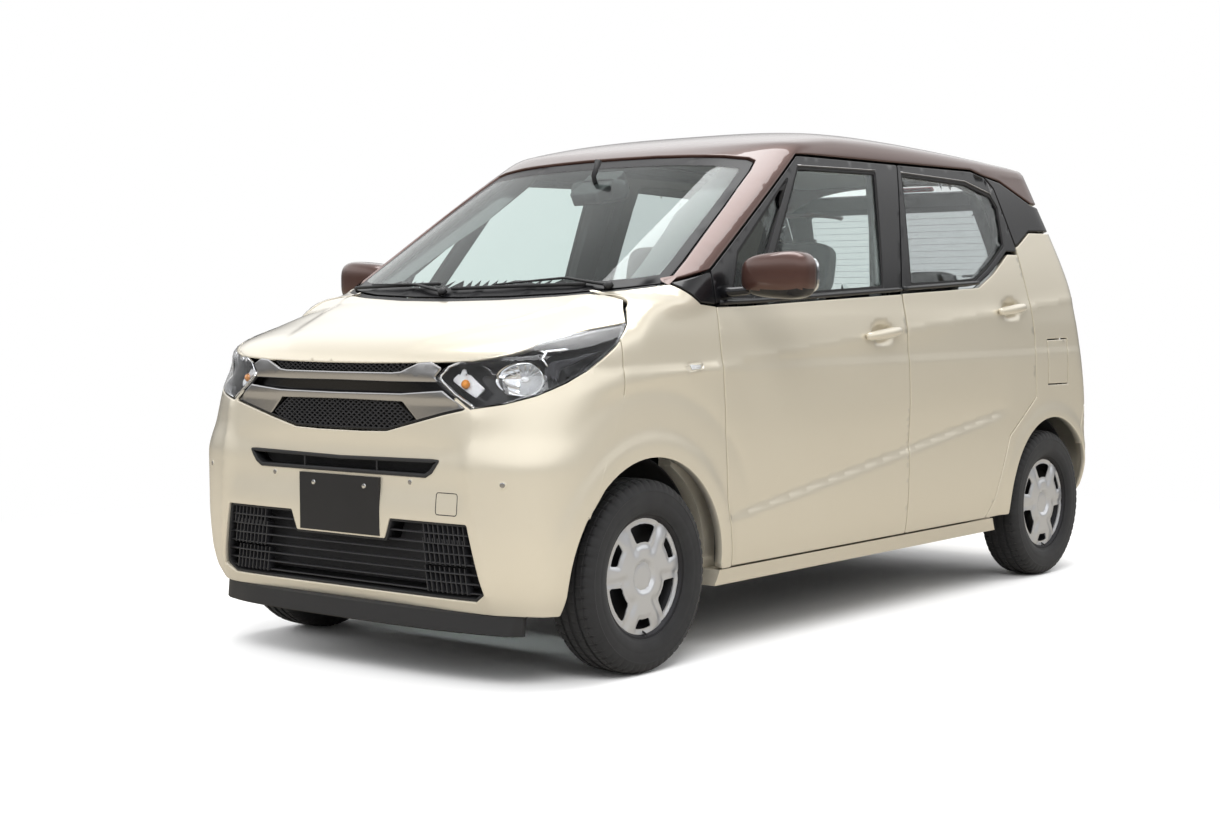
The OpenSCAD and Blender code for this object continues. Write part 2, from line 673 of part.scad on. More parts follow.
/* Running gear */
module engine_block() color("#5a5d61") translate([-X(290), Y(-1480), subframe_top + seat_gap])
    cube([X(570), Y(-1090) - Y(-1480), Z(780) - subframe_top]);
module fuel_tank() color("#2f3236")
    translate([-X(330), Y(330), Z(floor_z) - 45 - seat_gap]) cube([X(660), 480, 45]);
pipe_x = 400;
pipe_r = 22;
muffler_r = 60;
module exhaust() color("#6f7275") {
    translate([X(pipe_x), Y(-860), Z(floor_z) - pipe_r - seat_gap]) rotate([-90, 0, 0])
        cylinder(r = pipe_r, h = Y(1470) - Y(-860));
    translate([X(pipe_x), Y(1450), Z(floor_z) - pipe_r - seat_gap])
        cylinder(r = pipe_r - 2, h = Z(rear_floor_z) - muffler_r - Z(floor_z) + pipe_r);
    translate([X(pipe_x) + 30, Y(1450), Z(rear_floor_z) - muffler_r - seat_gap])
        rotate([0, -90, 0]) cylinder(r = muffler_r, h = 420);
}
kingpin_x = track_front / 2 - 60;
lower_boss = [tyre_radius - 86, tyre_radius - 62];
upper_boss = [tyre_radius + 112, tyre_radius + 140];
subframe_top = lower_boss[1];
strut_r = 20;
strut_top = tyre_radius + sqrt(pow(arch_radius + 2, 2) - pow(strut_r, 2)) - seat_gap;
module front_suspension() color("#3a3d41") {
    translate([-X(355), front_axle - 60, lower_boss[0]])
        cube([X(710), 120, lower_boss[1] - lower_boss[0]]);
    for (s = [-1, 1]) {
        translate([s * X(rail_x) - 15, front_axle - 20, lower_boss[0]])
            cube([30, 40, Z(rail_z) - lower_boss[0] - seat_gap]);
        arm_and_strut(s);
    }
}
module arm_and_strut(s) translate([0, front_axle, 0]) {
    difference() {
        union() {
            translate([s > 0 ? 200 : -kingpin_x, -22, lower_boss[0]])
                cube([kingpin_x - 200, 44, lower_boss[1] - lower_boss[0]]);
            translate([s * kingpin_x, 0, lower_boss[0]])
                cylinder(r = 26, h = lower_boss[1] - lower_boss[0]);
        }
        translate([s * kingpin_x, 0, lower_boss[0] - 1]) cylinder(r = kingpin_r + pin_gap, h = 40);
    }
    difference() {
        union() {
            translate([s > 0 ? kingpin_x - 55 : -kingpin_x, -16, upper_boss[0]])
                cube([55, 32, upper_boss[1] - upper_boss[0]]);
            translate([s * kingpin_x, 0, upper_boss[0]])
                cylinder(r = 20, h = upper_boss[1] - upper_boss[0]);
        }
        translate([s * kingpin_x, 0, upper_boss[0] - 1]) cylinder(r = kingpin_r + pin_gap, h = 21);
    }
    translate([s * (kingpin_x - 55), 0, upper_boss[0]])
        cylinder(r = strut_r, h = strut_top - upper_boss[0]);
}
module knuckle_left() color("#4a4d51") translate([kingpin_x, front_axle, 0]) {
    translate([0, 0, lower_boss[0]]) cylinder(r = kingpin_r, h = upper_boss[0] + 18 - lower_boss[0]);
    translate([0, 0, lower_boss[1] + seat_gap])
        cylinder(r = 22, h = upper_boss[0] - lower_boss[1] - 2 * seat_gap);
    translate([0, 0, tyre_radius]) rotate([0, 90, 0]) cylinder(r = axle_r, h = 100);
    translate([15, 0, tyre_radius]) rotate([0, 90, 0]) cylinder(r = 55, h = 25 - seat_gap);
}
module knuckle_right() mirror([1, 0, 0]) knuckle_left();
module rear_axle_beam() color("#3a3d41") {
    arm_x = track_rear / 2 - 150;
    for (s = [-1, 1]) {
        translate([s * arm_x - 22, Y(1010), tyre_radius - 30])
            cube([44, rear_axle + 30 - Y(1010), 60]);
        translate([s > 0 ? arm_x : -track_rear / 2 - 40, rear_axle, tyre_radius])
            rotate([0, 90, 0]) cylinder(r = axle_r, h = track_rear / 2 + 40 - arm_x);
        translate([s > 0 ? arm_x + 22 : -track_rear / 2 + 20 + seat_gap, rear_axle, tyre_radius])
            rotate([0, 90, 0]) cylinder(r = 45, h = track_rear / 2 - 20 - seat_gap - arm_x - 22);
        translate([s * arm_x - 22, Y(1010), tyre_radius]) cube([44, 50, Z(rear_floor_z) - tyre_radius - seat_gap]);
    }
    translate([-arm_x, Y(1120), tyre_radius]) rotate([0, 90, 0]) cylinder(r = 28, h = 2 * arm_x);
}

/* Wheels */
bead = rim_radius + seat_gap;
tyre_half = tyre_width / 2;
cover_r = rim_radius + 18;
module on_wheel(side, track, axle) translate([side * track / 2, axle, tyre_radius])
    rotate([0, side * 90, 0]) children();
module tyre(side, track, axle) color("#1a1a1b") on_wheel(side, track, axle) rotate_extrude()
    polygon([[bead, 16 - tyre_half], [bead + 26, -tyre_half + 2], [tyre_radius - 45, -tyre_half],
        [tyre_radius - 14, 8 - tyre_half], [tyre_radius, 22 - tyre_half],
        [tyre_radius, tyre_half - 22], [tyre_radius - 14, tyre_half - 8],
        [tyre_radius - 45, tyre_half], [cover_r + seat_gap, tyre_half - 5],
        [cover_r + seat_gap, 38], [bead, 38 - seat_gap]]);
module wheel(side, track, axle) color("#b9bcc0") on_wheel(side, track, axle) rotate_extrude()
    polygon([[axle_r + pin_gap, -20], [42, -20], [42, 34], [rim_radius - 12, 38],
        [rim_radius - 12, 16 - tyre_half], [rim_radius, 16 - tyre_half], [rim_radius, 38],
        [cover_r, 38 + seat_gap], [cover_r, 58], [0, 62], [0, 40 + seat_gap],
        [axle_r + pin_gap, 40 + seat_gap]]);
module front_left_tyre() tyre(1, track_front, front_axle);
module front_right_tyre() tyre(-1, track_front, front_axle);
module rear_left_tyre() tyre(1, track_rear, rear_axle);
module rear_right_tyre() tyre(-1, track_rear, rear_axle);
module front_left_wheel() wheel(1, track_front, front_axle);
module front_right_wheel() wheel(-1, track_front, front_axle);
module rear_left_wheel() wheel(1, track_rear, rear_axle);
module rear_right_wheel() wheel(-1, track_rear, rear_axle);

underbody();
bulkhead();
rear_floor();
front_wheelhouses();
rear_wheelhouses();
body_sides();
tailgate_frame();
door_seals();
radiator_support();
roof();
front_fenders();
rear_quarters();
pillar_trims();
front_bumper();
chin_spoiler();
rear_bumper();
upper_grille();
lower_grille();
headlamps();
tail_lamps();
windscreen();
cowl_panel();
front_wipers();
front_plate();
dashboard();
steering_column();
front_seats();
rear_seat();
cabin_mirror();
engine_block();
fuel_tank();
exhaust();
front_suspension();
rear_axle_beam();
bonnet();
tailgate();
tailgate_glass();
rear_plate();
fuel_flap();
steering_wheel();
front_door_left();
front_door_right();
front_door_glass_left();
front_door_glass_right();
door_mirror_left();
door_mirror_right();
rear_door_left();
rear_door_right();
rear_door_glass_left();
rear_door_glass_right();
knuckle_left();
knuckle_right();
front_left_tyre();
front_right_tyre();
rear_left_tyre();
rear_right_tyre();
front_left_wheel();
front_right_wheel();
rear_left_wheel();
rear_right_wheel();
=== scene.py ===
"""Kei car: the detailed visual model that rides on the packed frame."""

import math

import bmesh
import bpy
import numpy as np
from mathutils import Matrix, Vector
from mathutils.geometry import delaunay_2d_cdt


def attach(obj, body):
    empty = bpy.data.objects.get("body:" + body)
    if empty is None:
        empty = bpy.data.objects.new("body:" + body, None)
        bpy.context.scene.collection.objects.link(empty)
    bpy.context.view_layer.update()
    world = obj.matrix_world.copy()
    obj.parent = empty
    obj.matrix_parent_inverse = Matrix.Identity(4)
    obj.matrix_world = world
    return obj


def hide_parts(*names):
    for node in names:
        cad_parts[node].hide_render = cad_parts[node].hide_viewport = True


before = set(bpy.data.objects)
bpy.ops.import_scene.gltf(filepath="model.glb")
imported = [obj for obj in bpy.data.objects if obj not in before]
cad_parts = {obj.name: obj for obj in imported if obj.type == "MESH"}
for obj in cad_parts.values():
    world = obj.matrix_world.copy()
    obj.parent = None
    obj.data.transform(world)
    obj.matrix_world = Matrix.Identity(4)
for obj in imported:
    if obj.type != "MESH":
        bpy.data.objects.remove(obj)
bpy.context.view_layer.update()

bl_info = {
    "name": "Kei Car",
    "version": (1, 0, 0),
    "blender": (4, 5, 0),
    "location": "3D View > Sidebar > Kei Car",
    "description": "Builds the panels, lamps, glass, wheels and cabin of a kei car",
    "category": "Add Mesh",
}

MM = 0.001
ROOT = "root"
SIDES = {"left": 1, "right": -1}
BOTH_ROOT = (ROOT, ROOT)
FRONT_DOORS = ("front_door_left", "front_door_right")
REAR_DOORS = ("rear_door_left", "rear_door_right")


# ---------------------------------------------------------------- body surface, in millimetres

def smooth_curve(table):
    """A monotone cubic through the table's points, flat beyond its ends."""
    xs = np.array([p[0] for p in table], float)
    ys = np.array([p[1] for p in table], float)
    step = np.diff(xs)
    slope = np.diff(ys) / step
    tangent = np.zeros(len(xs))
    tangent[0], tangent[-1] = slope[0], slope[-1]
    for i in range(1, len(xs) - 1):
        if slope[i - 1] * slope[i] > 0:
            a, b = 2 * step[i] + step[i - 1], step[i] + 2 * step[i - 1]
            tangent[i] = (a + b) / (a / slope[i - 1] + b / slope[i])

    def value(x):
        x = np.clip(np.asarray(x, float), xs[0], xs[-1])
        i = np.clip(np.searchsorted(xs, x, side="right") - 1, 0, len(xs) - 2)
        h = step[i]
        t = (x - xs[i]) / h
        return (ys[i] * (1 + 2 * t) * (1 - t) ** 2 + tangent[i] * h * t * (1 - t) ** 2 + ys[i + 1]
            * t * t * (3 - 2 * t) + tangent[i + 1] * h * t * t * (t - 1))

    return value


half_width = smooth_curve([(150, 690), (210, 706), (262, 722), (330, 731), (450, 736.5), (600,
    737), (700, 737.5), (820, 736.5), (940, 732), (1050, 717), (1100, 710), (1300, 675), (1450,
    647), (1530, 628), (1650, 603)])
nose_tip = smooth_curve([(150, -1610), (210, -1652), (262, -1676), (330, -1688), (450, -1693),
    (600, -1693), (700, -1686), (800, -1690), (870, -1694), (1110, -1694)])
tail_tip = smooth_curve([(150, 1600), (210, 1640), (262, 1664), (330, 1690), (450, 1697), (620,
    1697), (750, 1692), (870, 1685), (1017, 1672), (1100, 1656), (1200, 1612), (1318, 1544), (1418,
    1482), (1532, 1421), (1650, 1358)])
nose_square = smooth_curve([(500, 5.4), (600, 5.4), (700, 4.4), (800, 3.6), (870, 3), (1000, 3)])
tail_square = smooth_curve([(500, 5), (620, 5), (1017, 3), (1100, 3)])
screen_tip = smooth_curve([(900, -1497.5), (1000, -1326), (1540, -400), (1650, -211)])
screen_depth = smooth_curve([(1000, 370), (1114, 331), (1514, 245), (1650, 235)])
screen_square = smooth_curve([(1000, 3.1), (1114, 3.1), (1514, 3.5), (1650, 3.5)])
bonnet_height = smooth_curve([(-1694, 884), (-1686, 901), (-1672, 918), (-1648, 935), (-1600,
    957), (-1500, 986), (-1400, 1013), (-1300, 1042), (-1236, 1059), (-1142, 1085), (-1050, 1096),
    (-900, 1100)])
bonnet_square = smooth_curve([(-1694, 3.1), (-1500, 3.1), (-1236, 3.9), (-1142, 7), (-1050, 8)])
roof_height = smooth_curve([(-500, 1505), (-400, 1543), (-300, 1577), (-200, 1603), (-100, 1621),
    (0, 1633), (100, 1638), (200, 1639.5), (400, 1636), (600, 1628), (800, 1617), (1000, 1602),
    (1200, 1583), (1325, 1569), (1422, 1557), (1700, 1523)])
NOSE_CORNER = -1200
TAIL_CORNER = 200
HOOD_BASE = 870
RAIL_HEIGHT = 1525
RAIL_HALF = 629
ROOF_SQUARE = 3.2
TINY = 1e-9


def squircle(a, b, size_a, size_b, power):
    """Rough distance inside the curve |a/size_a|^power + |b/size_b|^power = 1."""
    pa, pb = np.abs(a) / size_a, np.abs(b) / size_b
    total = pa ** power + pb ** power + TINY
    rho = total ** (1 / power)
    ga = pa ** (power - 1) / size_a
    gb = pb ** (power - 1) / size_b
    grow = np.sqrt(ga * ga + gb * gb) * rho ** (1 - power) + TINY
    return (1 - rho) / grow


def soft_min(a, b, k):
    h = np.maximum(k - np.abs(a - b), 0) / k
    return np.minimum(a, b) - k * h * h / 4


def inside(x, y, z):
    """Positive inside the car's outer surface, near zero in proportion to depth."""
    width = half_width(z)
    tail = tail_tip(z)
    tail_q = np.clip(y - tail + TAIL_CORNER, 0, None)
    nose = nose_tip(z)
    nose_q = np.clip(NOSE_CORNER - y, 0, None)
    front = y < 0
    shell = squircle(x, np.where(front, nose_q, tail_q), width, np.where(front, NOSE_CORNER - nose,
        TAIL_CORNER), np.where(front, nose_square(z), tail_square(z)))
    reach = np.clip((NOSE_CORNER - y) / (NOSE_CORNER + 1694.0), 0, 0.9999)
    hood_half = (half_width(HOOD_BASE) + 1) * (1 - reach ** 3) ** (1 / 3)
    rise = np.maximum(bonnet_height(y) - HOOD_BASE, 2)
    hood = squircle(x, np.clip(z - HOOD_BASE, 0, None), hood_half, rise, bonnet_square(y))
    hood = hood + 3 * np.clip(HOOD_BASE - z, 0, None)
    low = soft_min(shell, hood, 16)
    glass_q = np.clip(screen_tip(z) + screen_depth(z) - y, 0, None)
    cabin = squircle(x, np.where(front, glass_q, tail_q), width, np.where(front, screen_depth(z),
        TAIL_CORNER), np.where(front, screen_square(z), tail_square(z)))
    above = np.clip(z - RAIL_HEIGHT, 0, None)
    lean = 0.24 * np.clip(RAIL_HEIGHT - z, 0, None)
    roof = squircle(x, above, RAIL_HALF + lean, roof_height(y) - RAIL_HEIGHT, ROOF_SQUARE)
    cabin = soft_min(cabin, roof, 22)
    cabin = np.where(z < 1000, -50.0, cabin)
    return np.maximum(low, cabin)


def plan_curve(tip, corner, half, power, reach):
    """Plan outline from the centre line round one corner and along the side."""
    angle = np.linspace(0, math.pi / 2, 120)
    x = half * np.sin(angle) ** (2 / power)
    y = tip + (corner - tip) * (1 - np.cos(angle) ** (2 / power))
    x = np.concatenate([x, [half]])
    y = np.concatenate([y, [reach]])
    length = np.concatenate([[0], np.cumsum(np.hypot(np.diff(x), np.diff(y)))])
    u = np.arange(0, length[-1], 6.0)
    x, y = np.interp(u, length, x), np.interp(u, length, y)
    for _ in range(12):
        x[1:-1] = (x[:-2] + 2 * x[1:-1] + x[2:]) / 4
        y[1:-1] = (y[:-2] + 2 * y[1:-1] + y[2:]) / 4
    tx, ty = np.gradient(x), np.gradient(y)
    size = np.hypot(tx, ty)
    flip = 1 if tip < 0 else -1
    return u, x, y, flip * ty / size, -flip * tx / size


NOSE_PLAN = plan_curve(-1690, -1200, 735, 4.2, -700)
TAIL_PLAN = plan_curve(1690, 1490, 735, 4.2, 700)
FAN_Y, FAN_Z, FAN_R = -1000.0, 700.0, 640.0
VAULT_Z = 1200.0


def rays(view, a, b):
    """Origins and directions of the rays that carry a view's flat points to the surface."""
    zero, one = np.zeros_like(a), np.ones_like(a)
    if view == "side":
        return (zero + 300, a, b), (one, zero, zero)
    if view == "front":
        return (a, zero, b), (zero, -one, zero)
    if view == "rear":
        return (a, zero, b), (zero, one, zero)
    if view == "top":
        return (a, b, zero + 800), (zero, zero, one)
    if view == "fan":
        angle = b / FAN_R
        return (a, zero + FAN_Y, zero + FAN_Z), (zero, -np.cos(angle), np.sin(angle))
    if view == "back fan":
        angle = b / FAN_R
        return (a, zero - FAN_Y, zero + FAN_Z), (zero, np.cos(angle), np.sin(angle))
    if view == "vault":
        angle = b / FAN_R
        return (zero, a, zero + VAULT_Z), (np.sin(angle), zero, np.cos(angle))
    u, x, y, nx, ny = NOSE_PLAN if view == "nose" else TAIL_PLAN
    side = np.where(a < 0, -1.0, 1.0)
    k = np.abs(a)
    px, py = np.interp(k, u, x), np.interp(k, u, y)
    dx, dy = np.interp(k, u, nx), np.interp(k, u, ny)
    size = np.hypot(dx, dy)
    dx, dy = dx / size, dy / size
    return (side * (px - 260 * dx), py - 260 * dy, b), (side * dx, dy, zero)


def flatten(view, p):
    """The view's flat coordinates of points on the surface."""
    p = np.atleast_2d(np.asarray(p, float))
    x, y, z = p[:, 0], p[:, 1], p[:, 2]
    if view == "side":
        return np.stack([y, z], 1)
    if view in ("front", "rear"):
        return np.stack([x, z], 1)
    if view == "top":
        return np.stack([x, y], 1)
    if view == "fan":
        return np.stack([x, FAN_R * np.arctan2(z - FAN_Z, FAN_Y - y)], 1)
    if view == "back fan":
        return np.stack([x, FAN_R * np.arctan2(z - FAN_Z, y + FAN_Y)], 1)
    if view == "vault":
        return np.stack([y, FAN_R * np.arctan2(x, z - VAULT_Z)], 1)
    u, px, py, _, _ = NOSE_PLAN if view == "nose" else TAIL_PLAN
    near = np.argmin((np.abs(x)[:, None] - px) ** 2 + (y[:, None] - py) ** 2, axis=1)
    near = np.clip(near, 1, len(u) - 2)
    tx, ty = px[near + 1] - px[near - 1], py[near + 1] - py[near - 1]
    along = ((np.abs(x) - px[near]) * tx + (y - py[near]) * ty) / (tx * tx + ty * ty)
    run = u[near] + along * (u[near + 1] - u[near - 1])
    return np.stack([np.where(x < 0, -run, run), z], 1)


def cast(view, flat):
    """Points of the smooth body surface above the flat points."""
    a, b = flat[:, 0], flat[:, 1]
    origin, way = rays(view, a, b)
    near, far = np.zeros(len(a)), np.full(len(a), 1150.0)
    if view in ("nose", "tail"):
        far[:] = 420.0
    if view in ("front", "rear"):
        far[:] = 1760.0
    for _ in range(26):
        mid = (near + far) / 2
        keep = inside(*[o + mid * w for o, w in zip(origin, way)]) > 0
        near, far = np.where(keep, mid, near), np.where(keep, far, mid)
    return np.stack([o + near * w for o, w in zip(origin, way)], 1)


def normals_at(p):
    e = 1.5
    x, y, z = p.T
    n = -np.stack([inside(x + e, y, z) - inside(x - e, y, z), inside(x, y + e, z) - inside(x, y -
        e, z), inside(x, y, z + e) - inside(x, y, z - e)], 1)
    return n / (np.linalg.norm(n, axis=1, keepdims=True) + TINY)


FRONT_AXLE, REAR_AXLE, HUB = -1182.5, 1312.5, 278.0
FRONT_ARCH, REAR_ARCH = 338.0, 328.0


def step_up(t):
    t = np.clip(t, 0, 1)
    return t * t * (3 - 2 * t)


def shoulder_z(y):
    return 942 + 0.081 * (y - 65)


def sculpt_z(y):
    return 420 + 0.135 * (y + 800)


def relief(p):
    """Outward height of the pressed creases, flares and folds, in millimetres."""
    x, y, z = p.T
    flank = step_up((np.abs(x) - 560) / 90)
    along = step_up((y + 1500) / 160) * step_up((1600 - y) / 120)
    s = z - shoulder_z(y)
    out = 4.2 * np.exp(-np.abs(s) / 30) * flank * along
    low = z - sculpt_z(y)
    doors = step_up((y + 900) / 200) * step_up((1000 - y) / 160)
    out = out + flank * doors * (-7.0 * np.exp(-np.clip(low, 0, None) / 90) * step_up((low + 24) /
        24) * step_up((260 - low) / 200))
    for axle, arch, width, height in ((FRONT_AXLE, FRONT_ARCH, 84, 6.5), (REAR_AXLE, REAR_ARCH, 66,
            6)):
        r = np.hypot(y - axle, z - HUB)
        out = out + flank * height * step_up((arch + width - r) / 44) * step_up((z - 150) / 120)
    r = np.hypot(y - FRONT_AXLE, z - HUB)
    out = out - flank * 3.5 * np.exp(-np.abs(r - 530) / 26) * step_up((z - 420) / 160) * step_up(
        (y + 1560) / 200)
    nose = step_up((-1380 - y) / 120) * step_up((800 - z) / 60)
    fold = 505 + 0.10 * np.clip(600 - z, 0, None)
    out = out + 9 * np.exp(-np.abs(np.abs(x) - fold) / 34) * nose * step_up((z - 180) / 100)
    face = nose * step_up((fold - np.abs(x)) / 60)
    out = out + face * (-7 * step_up((z - 470) / 90) * step_up((700 - z) / 60))
    return out


def on_body(view, flat, depth=0.0, pressed=True):
    """Points of the finished surface above flat points, moved in by depth."""
    p = cast(view, np.asarray(flat, float))
    n = normals_at(p)
    move = (relief(p) if pressed else 0.0) - depth
    return p + n * np.reshape(move, (-1, 1)), n


# ---------------------------------------------------------------- flat outlines

def resample(points, step, closed=True):
    """The outline with extra points so that no edge is longer than step."""
    pts = np.asarray(points, float)
    out = []
    count = len(pts) if closed else len(pts) - 1
    for i in range(count):
        a, b = pts[i], pts[(i + 1) % len(pts)]
        n = max(1, int(math.ceil(np.linalg.norm(b - a) / step)))
        out += [a + (b - a) * k / n for k in range(n)]
    if not closed:
        out.append(pts[-1])
    return np.array(out)


def rounded(points, radius, steps=5):
    """A closed outline with its corners rounded off."""
    pts = [np.asarray(p, float) for p in points]
    out = []
    for i, p in enumerate(pts):
        a, b = pts[i - 1], pts[(i + 1) % len(pts)]
        la, lb = np.linalg.norm(a - p), np.linalg.norm(b - p)
        ua, ub = (a - p) / la, (b - p) / lb
        bend = math.acos(float(np.clip(-np.dot(ua, ub), -1, 1)))
        if bend < 0.12:
            out.append(p)
            continue
        cut = min(radius * math.tan(bend / 2), 0.45 * la, 0.45 * lb)
        p0, p1 = p + ua * cut, p + ub * cut
        for k in range(steps + 1):
            t = k / steps
            out.append((1 - t) ** 2 * p0 + 2 * t * (1 - t) * p + t * t * p1)
    return np.array(out)


def area_of(pts):
    x, y = pts[:, 0], pts[:, 1]
    return 0.5 * float(np.sum(x * np.roll(y, -1) - np.roll(x, -1) * y))


def shrink(points, amount):
    """A closed outline moved inward by amount, with its corners kept."""
    pts = np.asarray(points, float)
    keep = np.linalg.norm(pts - np.roll(pts, 1, 0), axis=1) > 0.05
    pts = pts[keep]
    sign = 1 if area_of(pts) > 0 else -1
    d = np.roll(pts, -1, 0) - pts
    d = d / np.linalg.norm(d, axis=1, keepdims=True)
    n = sign * np.stack([-d[:, 1], d[:, 0]], 1)
    before = np.roll(n, 1, 0)
    mid = before + n
    scale = 1 / np.maximum(0.35, (1 + np.sum(before * n, 1)) / 2)
    return pts + amount * mid / 2 * scale[:, None]


def within(pts, outline):
    """Which points lie inside a closed outline."""
    x, y = pts[:, 0], pts[:, 1]
    hit = np.zeros(len(pts), bool)
    ox, oy = outline[:, 0], outline[:, 1]
    for i in range(len(outline)):
        x0, y0, x1, y1 = ox[i - 1], oy[i - 1], ox[i], oy[i]
        if y0 == y1:
            continue
        cross = (y0 > y) != (y1 > y)
        hit ^= cross & (x < (x1 - x0) * (y - y0) / (y1 - y0) + x0)
    return hit


def gap_to(pts, outline):
    """Distance from each point to a closed outline."""
    best = np.full(len(pts), 1e9)
    for i in range(len(outline)):
        a, b = outline[i - 1], outline[i]
        d = b - a
        t = np.clip(((pts - a) @ d) / (d @ d + TINY), 0, 1)
        best = np.minimum(best, np.linalg.norm(pts - a - t[:, None] * d, axis=1))
    return best


def fill(outline, holes=(), lines=(), step=18.0):
    """Flat points and triangles that fill an outline, with holes and crease lines."""
    loops = [outline] + list(holes)
    low, high = outline.min(0), outline.max(0)
    gx = np.arange(low[0] + step / 2, high[0], step)
    gy = np.arange(low[1] + step / 2, high[1], step * 0.87)
    grid = np.array([(x + (step / 2 if j % 2 else 0), y) for j, y in enumerate(gy) for x in gx])
    if len(grid):
        ok = within(grid, outline)
        for h in holes:
            ok &= ~within(grid, h)
        grid = grid[ok]
    for line in loops:
        if len(grid):
            grid = grid[gap_to(grid, line) > step * 0.45]
    points, edges = [], []
    for line in loops:
        start = len(points)
        points += list(line)
        edges += [(start + i, start + (i + 1) % len(line)) for i in range(len(line))]
    for line in lines:
        line = resample(line, step, closed=False)
        ok = within(line, outline) & (gap_to(line, outline) > step * 0.3)
        for h in holes:
            ok &= ~within(line, h) & (gap_to(line, h) > step * 0.3)
        if len(grid):
            far = np.min(np.linalg.norm(grid[:, None] - line[None], axis=2), axis=1)
            grid = grid[far > step * 0.5]
        for i in range(len(line) - 1):
            if ok[i] and ok[i + 1]:
                edges.append((len(points), len(points) + 1))
                points += [line[i], line[i + 1]]
    points += list(grid)
    verts, _, faces, *_ = delaunay_2d_cdt([Vector(map(float, p)) for p in points], edges, [], 0,
        1e-4)
    flat = np.array([(v[0], v[1]) for v in verts])
    tri = np.array([f for f in faces if len(f) == 3], int)
    middle = flat[tri].mean(axis=1)
    ok = within(middle, outline)
    for h in holes:
        ok &= ~within(middle, h)
    tri = tri[ok]
    used = np.unique(tri)
    index = np.full(len(flat), -1)
    index[used] = np.arange(len(used))
    flat, tri = flat[used], index[tri]
    e1 = flat[tri[:, 1]] - flat[tri[:, 0]]
    e2 = flat[tri[:, 2]] - flat[tri[:, 0]]
    turn = e1[:, 0] * e2[:, 1] - e1[:, 1] * e2[:, 0] < 0
    tri[turn] = tri[turn][:, ::-1]
    return flat, tri


# ---------------------------------------------------------------- meshes

def placed(name, data):
    """An object linked to the scene."""
    obj = bpy.data.objects.new(name, data)
    bpy.context.scene.collection.objects.link(obj)
    return obj


def ride_on(obj, body):
    """The object on its CAD body, with the material slot that it takes its finish from."""
    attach(obj, body)
    return obj


def make(name, verts, faces, materials, body=ROOT, slot=None, smooth=True, slots=None):
    """A mesh object from millimetre points, riding on a CAD body."""
    mesh = bpy.data.meshes.new(name)
    points = (np.asarray(verts, float) * MM).tolist()
    mesh.from_pydata(points, [], [tuple(int(i) for i in f) for f in faces])
    keys = (materials,) if isinstance(materials, str) else materials
    for key in keys:
        mesh.materials.append(FINISH[key])
    if slots is not None:
        mesh.polygons.foreach_set("material_index", np.asarray(slots, np.int32))
    if smooth:
        mesh.shade_smooth()
    mesh.update()
    return ride_on(placed(name, mesh), body)


def sharpen(obj, degrees=32):
    """Shades smooth except across edges sharper than an angle."""
    mesh = obj.data
    mesh.shade_smooth()
    mesh.set_sharp_from_angle(angle=math.radians(degrees))
    return obj


def merge(parts):
    """One vertex and face list, with material slots, from several."""
    verts, faces, slots, base = [], [], [], 0
    for v, f, s in parts:
        verts.append(np.asarray(v, float).reshape(-1, 3))
        faces += [tuple(int(i) + base for i in q) for q in f]
        slots += list(s) if isinstance(s, (list, tuple, np.ndarray)) else [s] * len(f)
        base += len(verts[-1])
    return np.concatenate(verts), faces, slots


def mirrored(v, f):
    v = np.asarray(v, float) * (-1, 1, 1)
    return v, [tuple(reversed(q)) for q in f]


def plate(view, outline, thick=8.0, depth=0.0, gap=2.5, edge=2.2, holes=(), lines=(), step=18.0,
          pressed=True, hole_gap=0.0, shape=None, corner=8, margin=3.0):
    """A closed panel on the body with rounded edges, given as an outline in a flat view."""
    base = rounded(shrink(resample(outline, 400), gap) if gap else np.asarray(outline, float),
        corner)
    base = resample(base, step * 0.8)
    cuts = [resample(rounded(shrink(resample(h, 400), -hole_gap) if hole_gap else np.asarray(h,
        float), corner), step * 0.8) for h in holes]
    rings = ((edge + margin, 0.0), (edge, 0.0), (edge * 0.3, edge * 0.3), (0.0, edge), (0.0,
        thick))
    sets = [[shrink(base, a) for a, _ in rings]] + [[shrink(c, -a) for a, _ in rings] for c in
        cuts]
    flat, tri = fill(sets[0][0], [c[0] for c in sets[1:]], lines, step)
    skin = len(flat)
    pieces, drop = [flat], [np.zeros(skin)]
    faces = [tuple(t) for t in tri] + [tuple(t[::-1] + skin) for t in tri]
    pieces.append(flat)
    drop.append(np.full(skin, thick))
    count = 2 * skin
    for number, loops in enumerate(sets):
        inner = np.argmin(np.linalg.norm(flat[:, None] - loops[0][None], axis=2), axis=0)
        rows = [inner]
        for k in range(1, len(rings)):
            rows.append(np.arange(count, count + len(loops[k])))
            pieces.append(loops[k])
            drop.append(np.full(len(loops[k]), rings[k][1]))
            count += len(loops[k])
        rows.append(inner + skin)
        way = (area_of(loops[0]) > 0) == (number == 0)
        for r in range(len(rows) - 1):
            up, down = rows[r], rows[r + 1]
            for i in range(len(up)):
                j = (i + 1) % len(up)
                faces.append((up[i], down[i], down[j], up[j]) if way else (up[i], up[j], down[j],
                    down[i]))
    flat_all, drops = np.concatenate(pieces), np.concatenate(drop)
    p, n = on_body(view, flat_all, 0.0, pressed)
    offset = drops + depth
    if shape is not None:
        offset = offset + shape(p) * (drops < thick - 0.01)
    p = p - n * offset[:, None]
    corner_n = np.cross(p[tri[:, 1]] - p[tri[:, 0]], p[tri[:, 2]] - p[tri[:, 0]])
    if np.sum(corner_n * n[tri[:, 0]]) < 0:
        faces = [tuple(reversed(q)) for q in faces]
    return p, faces


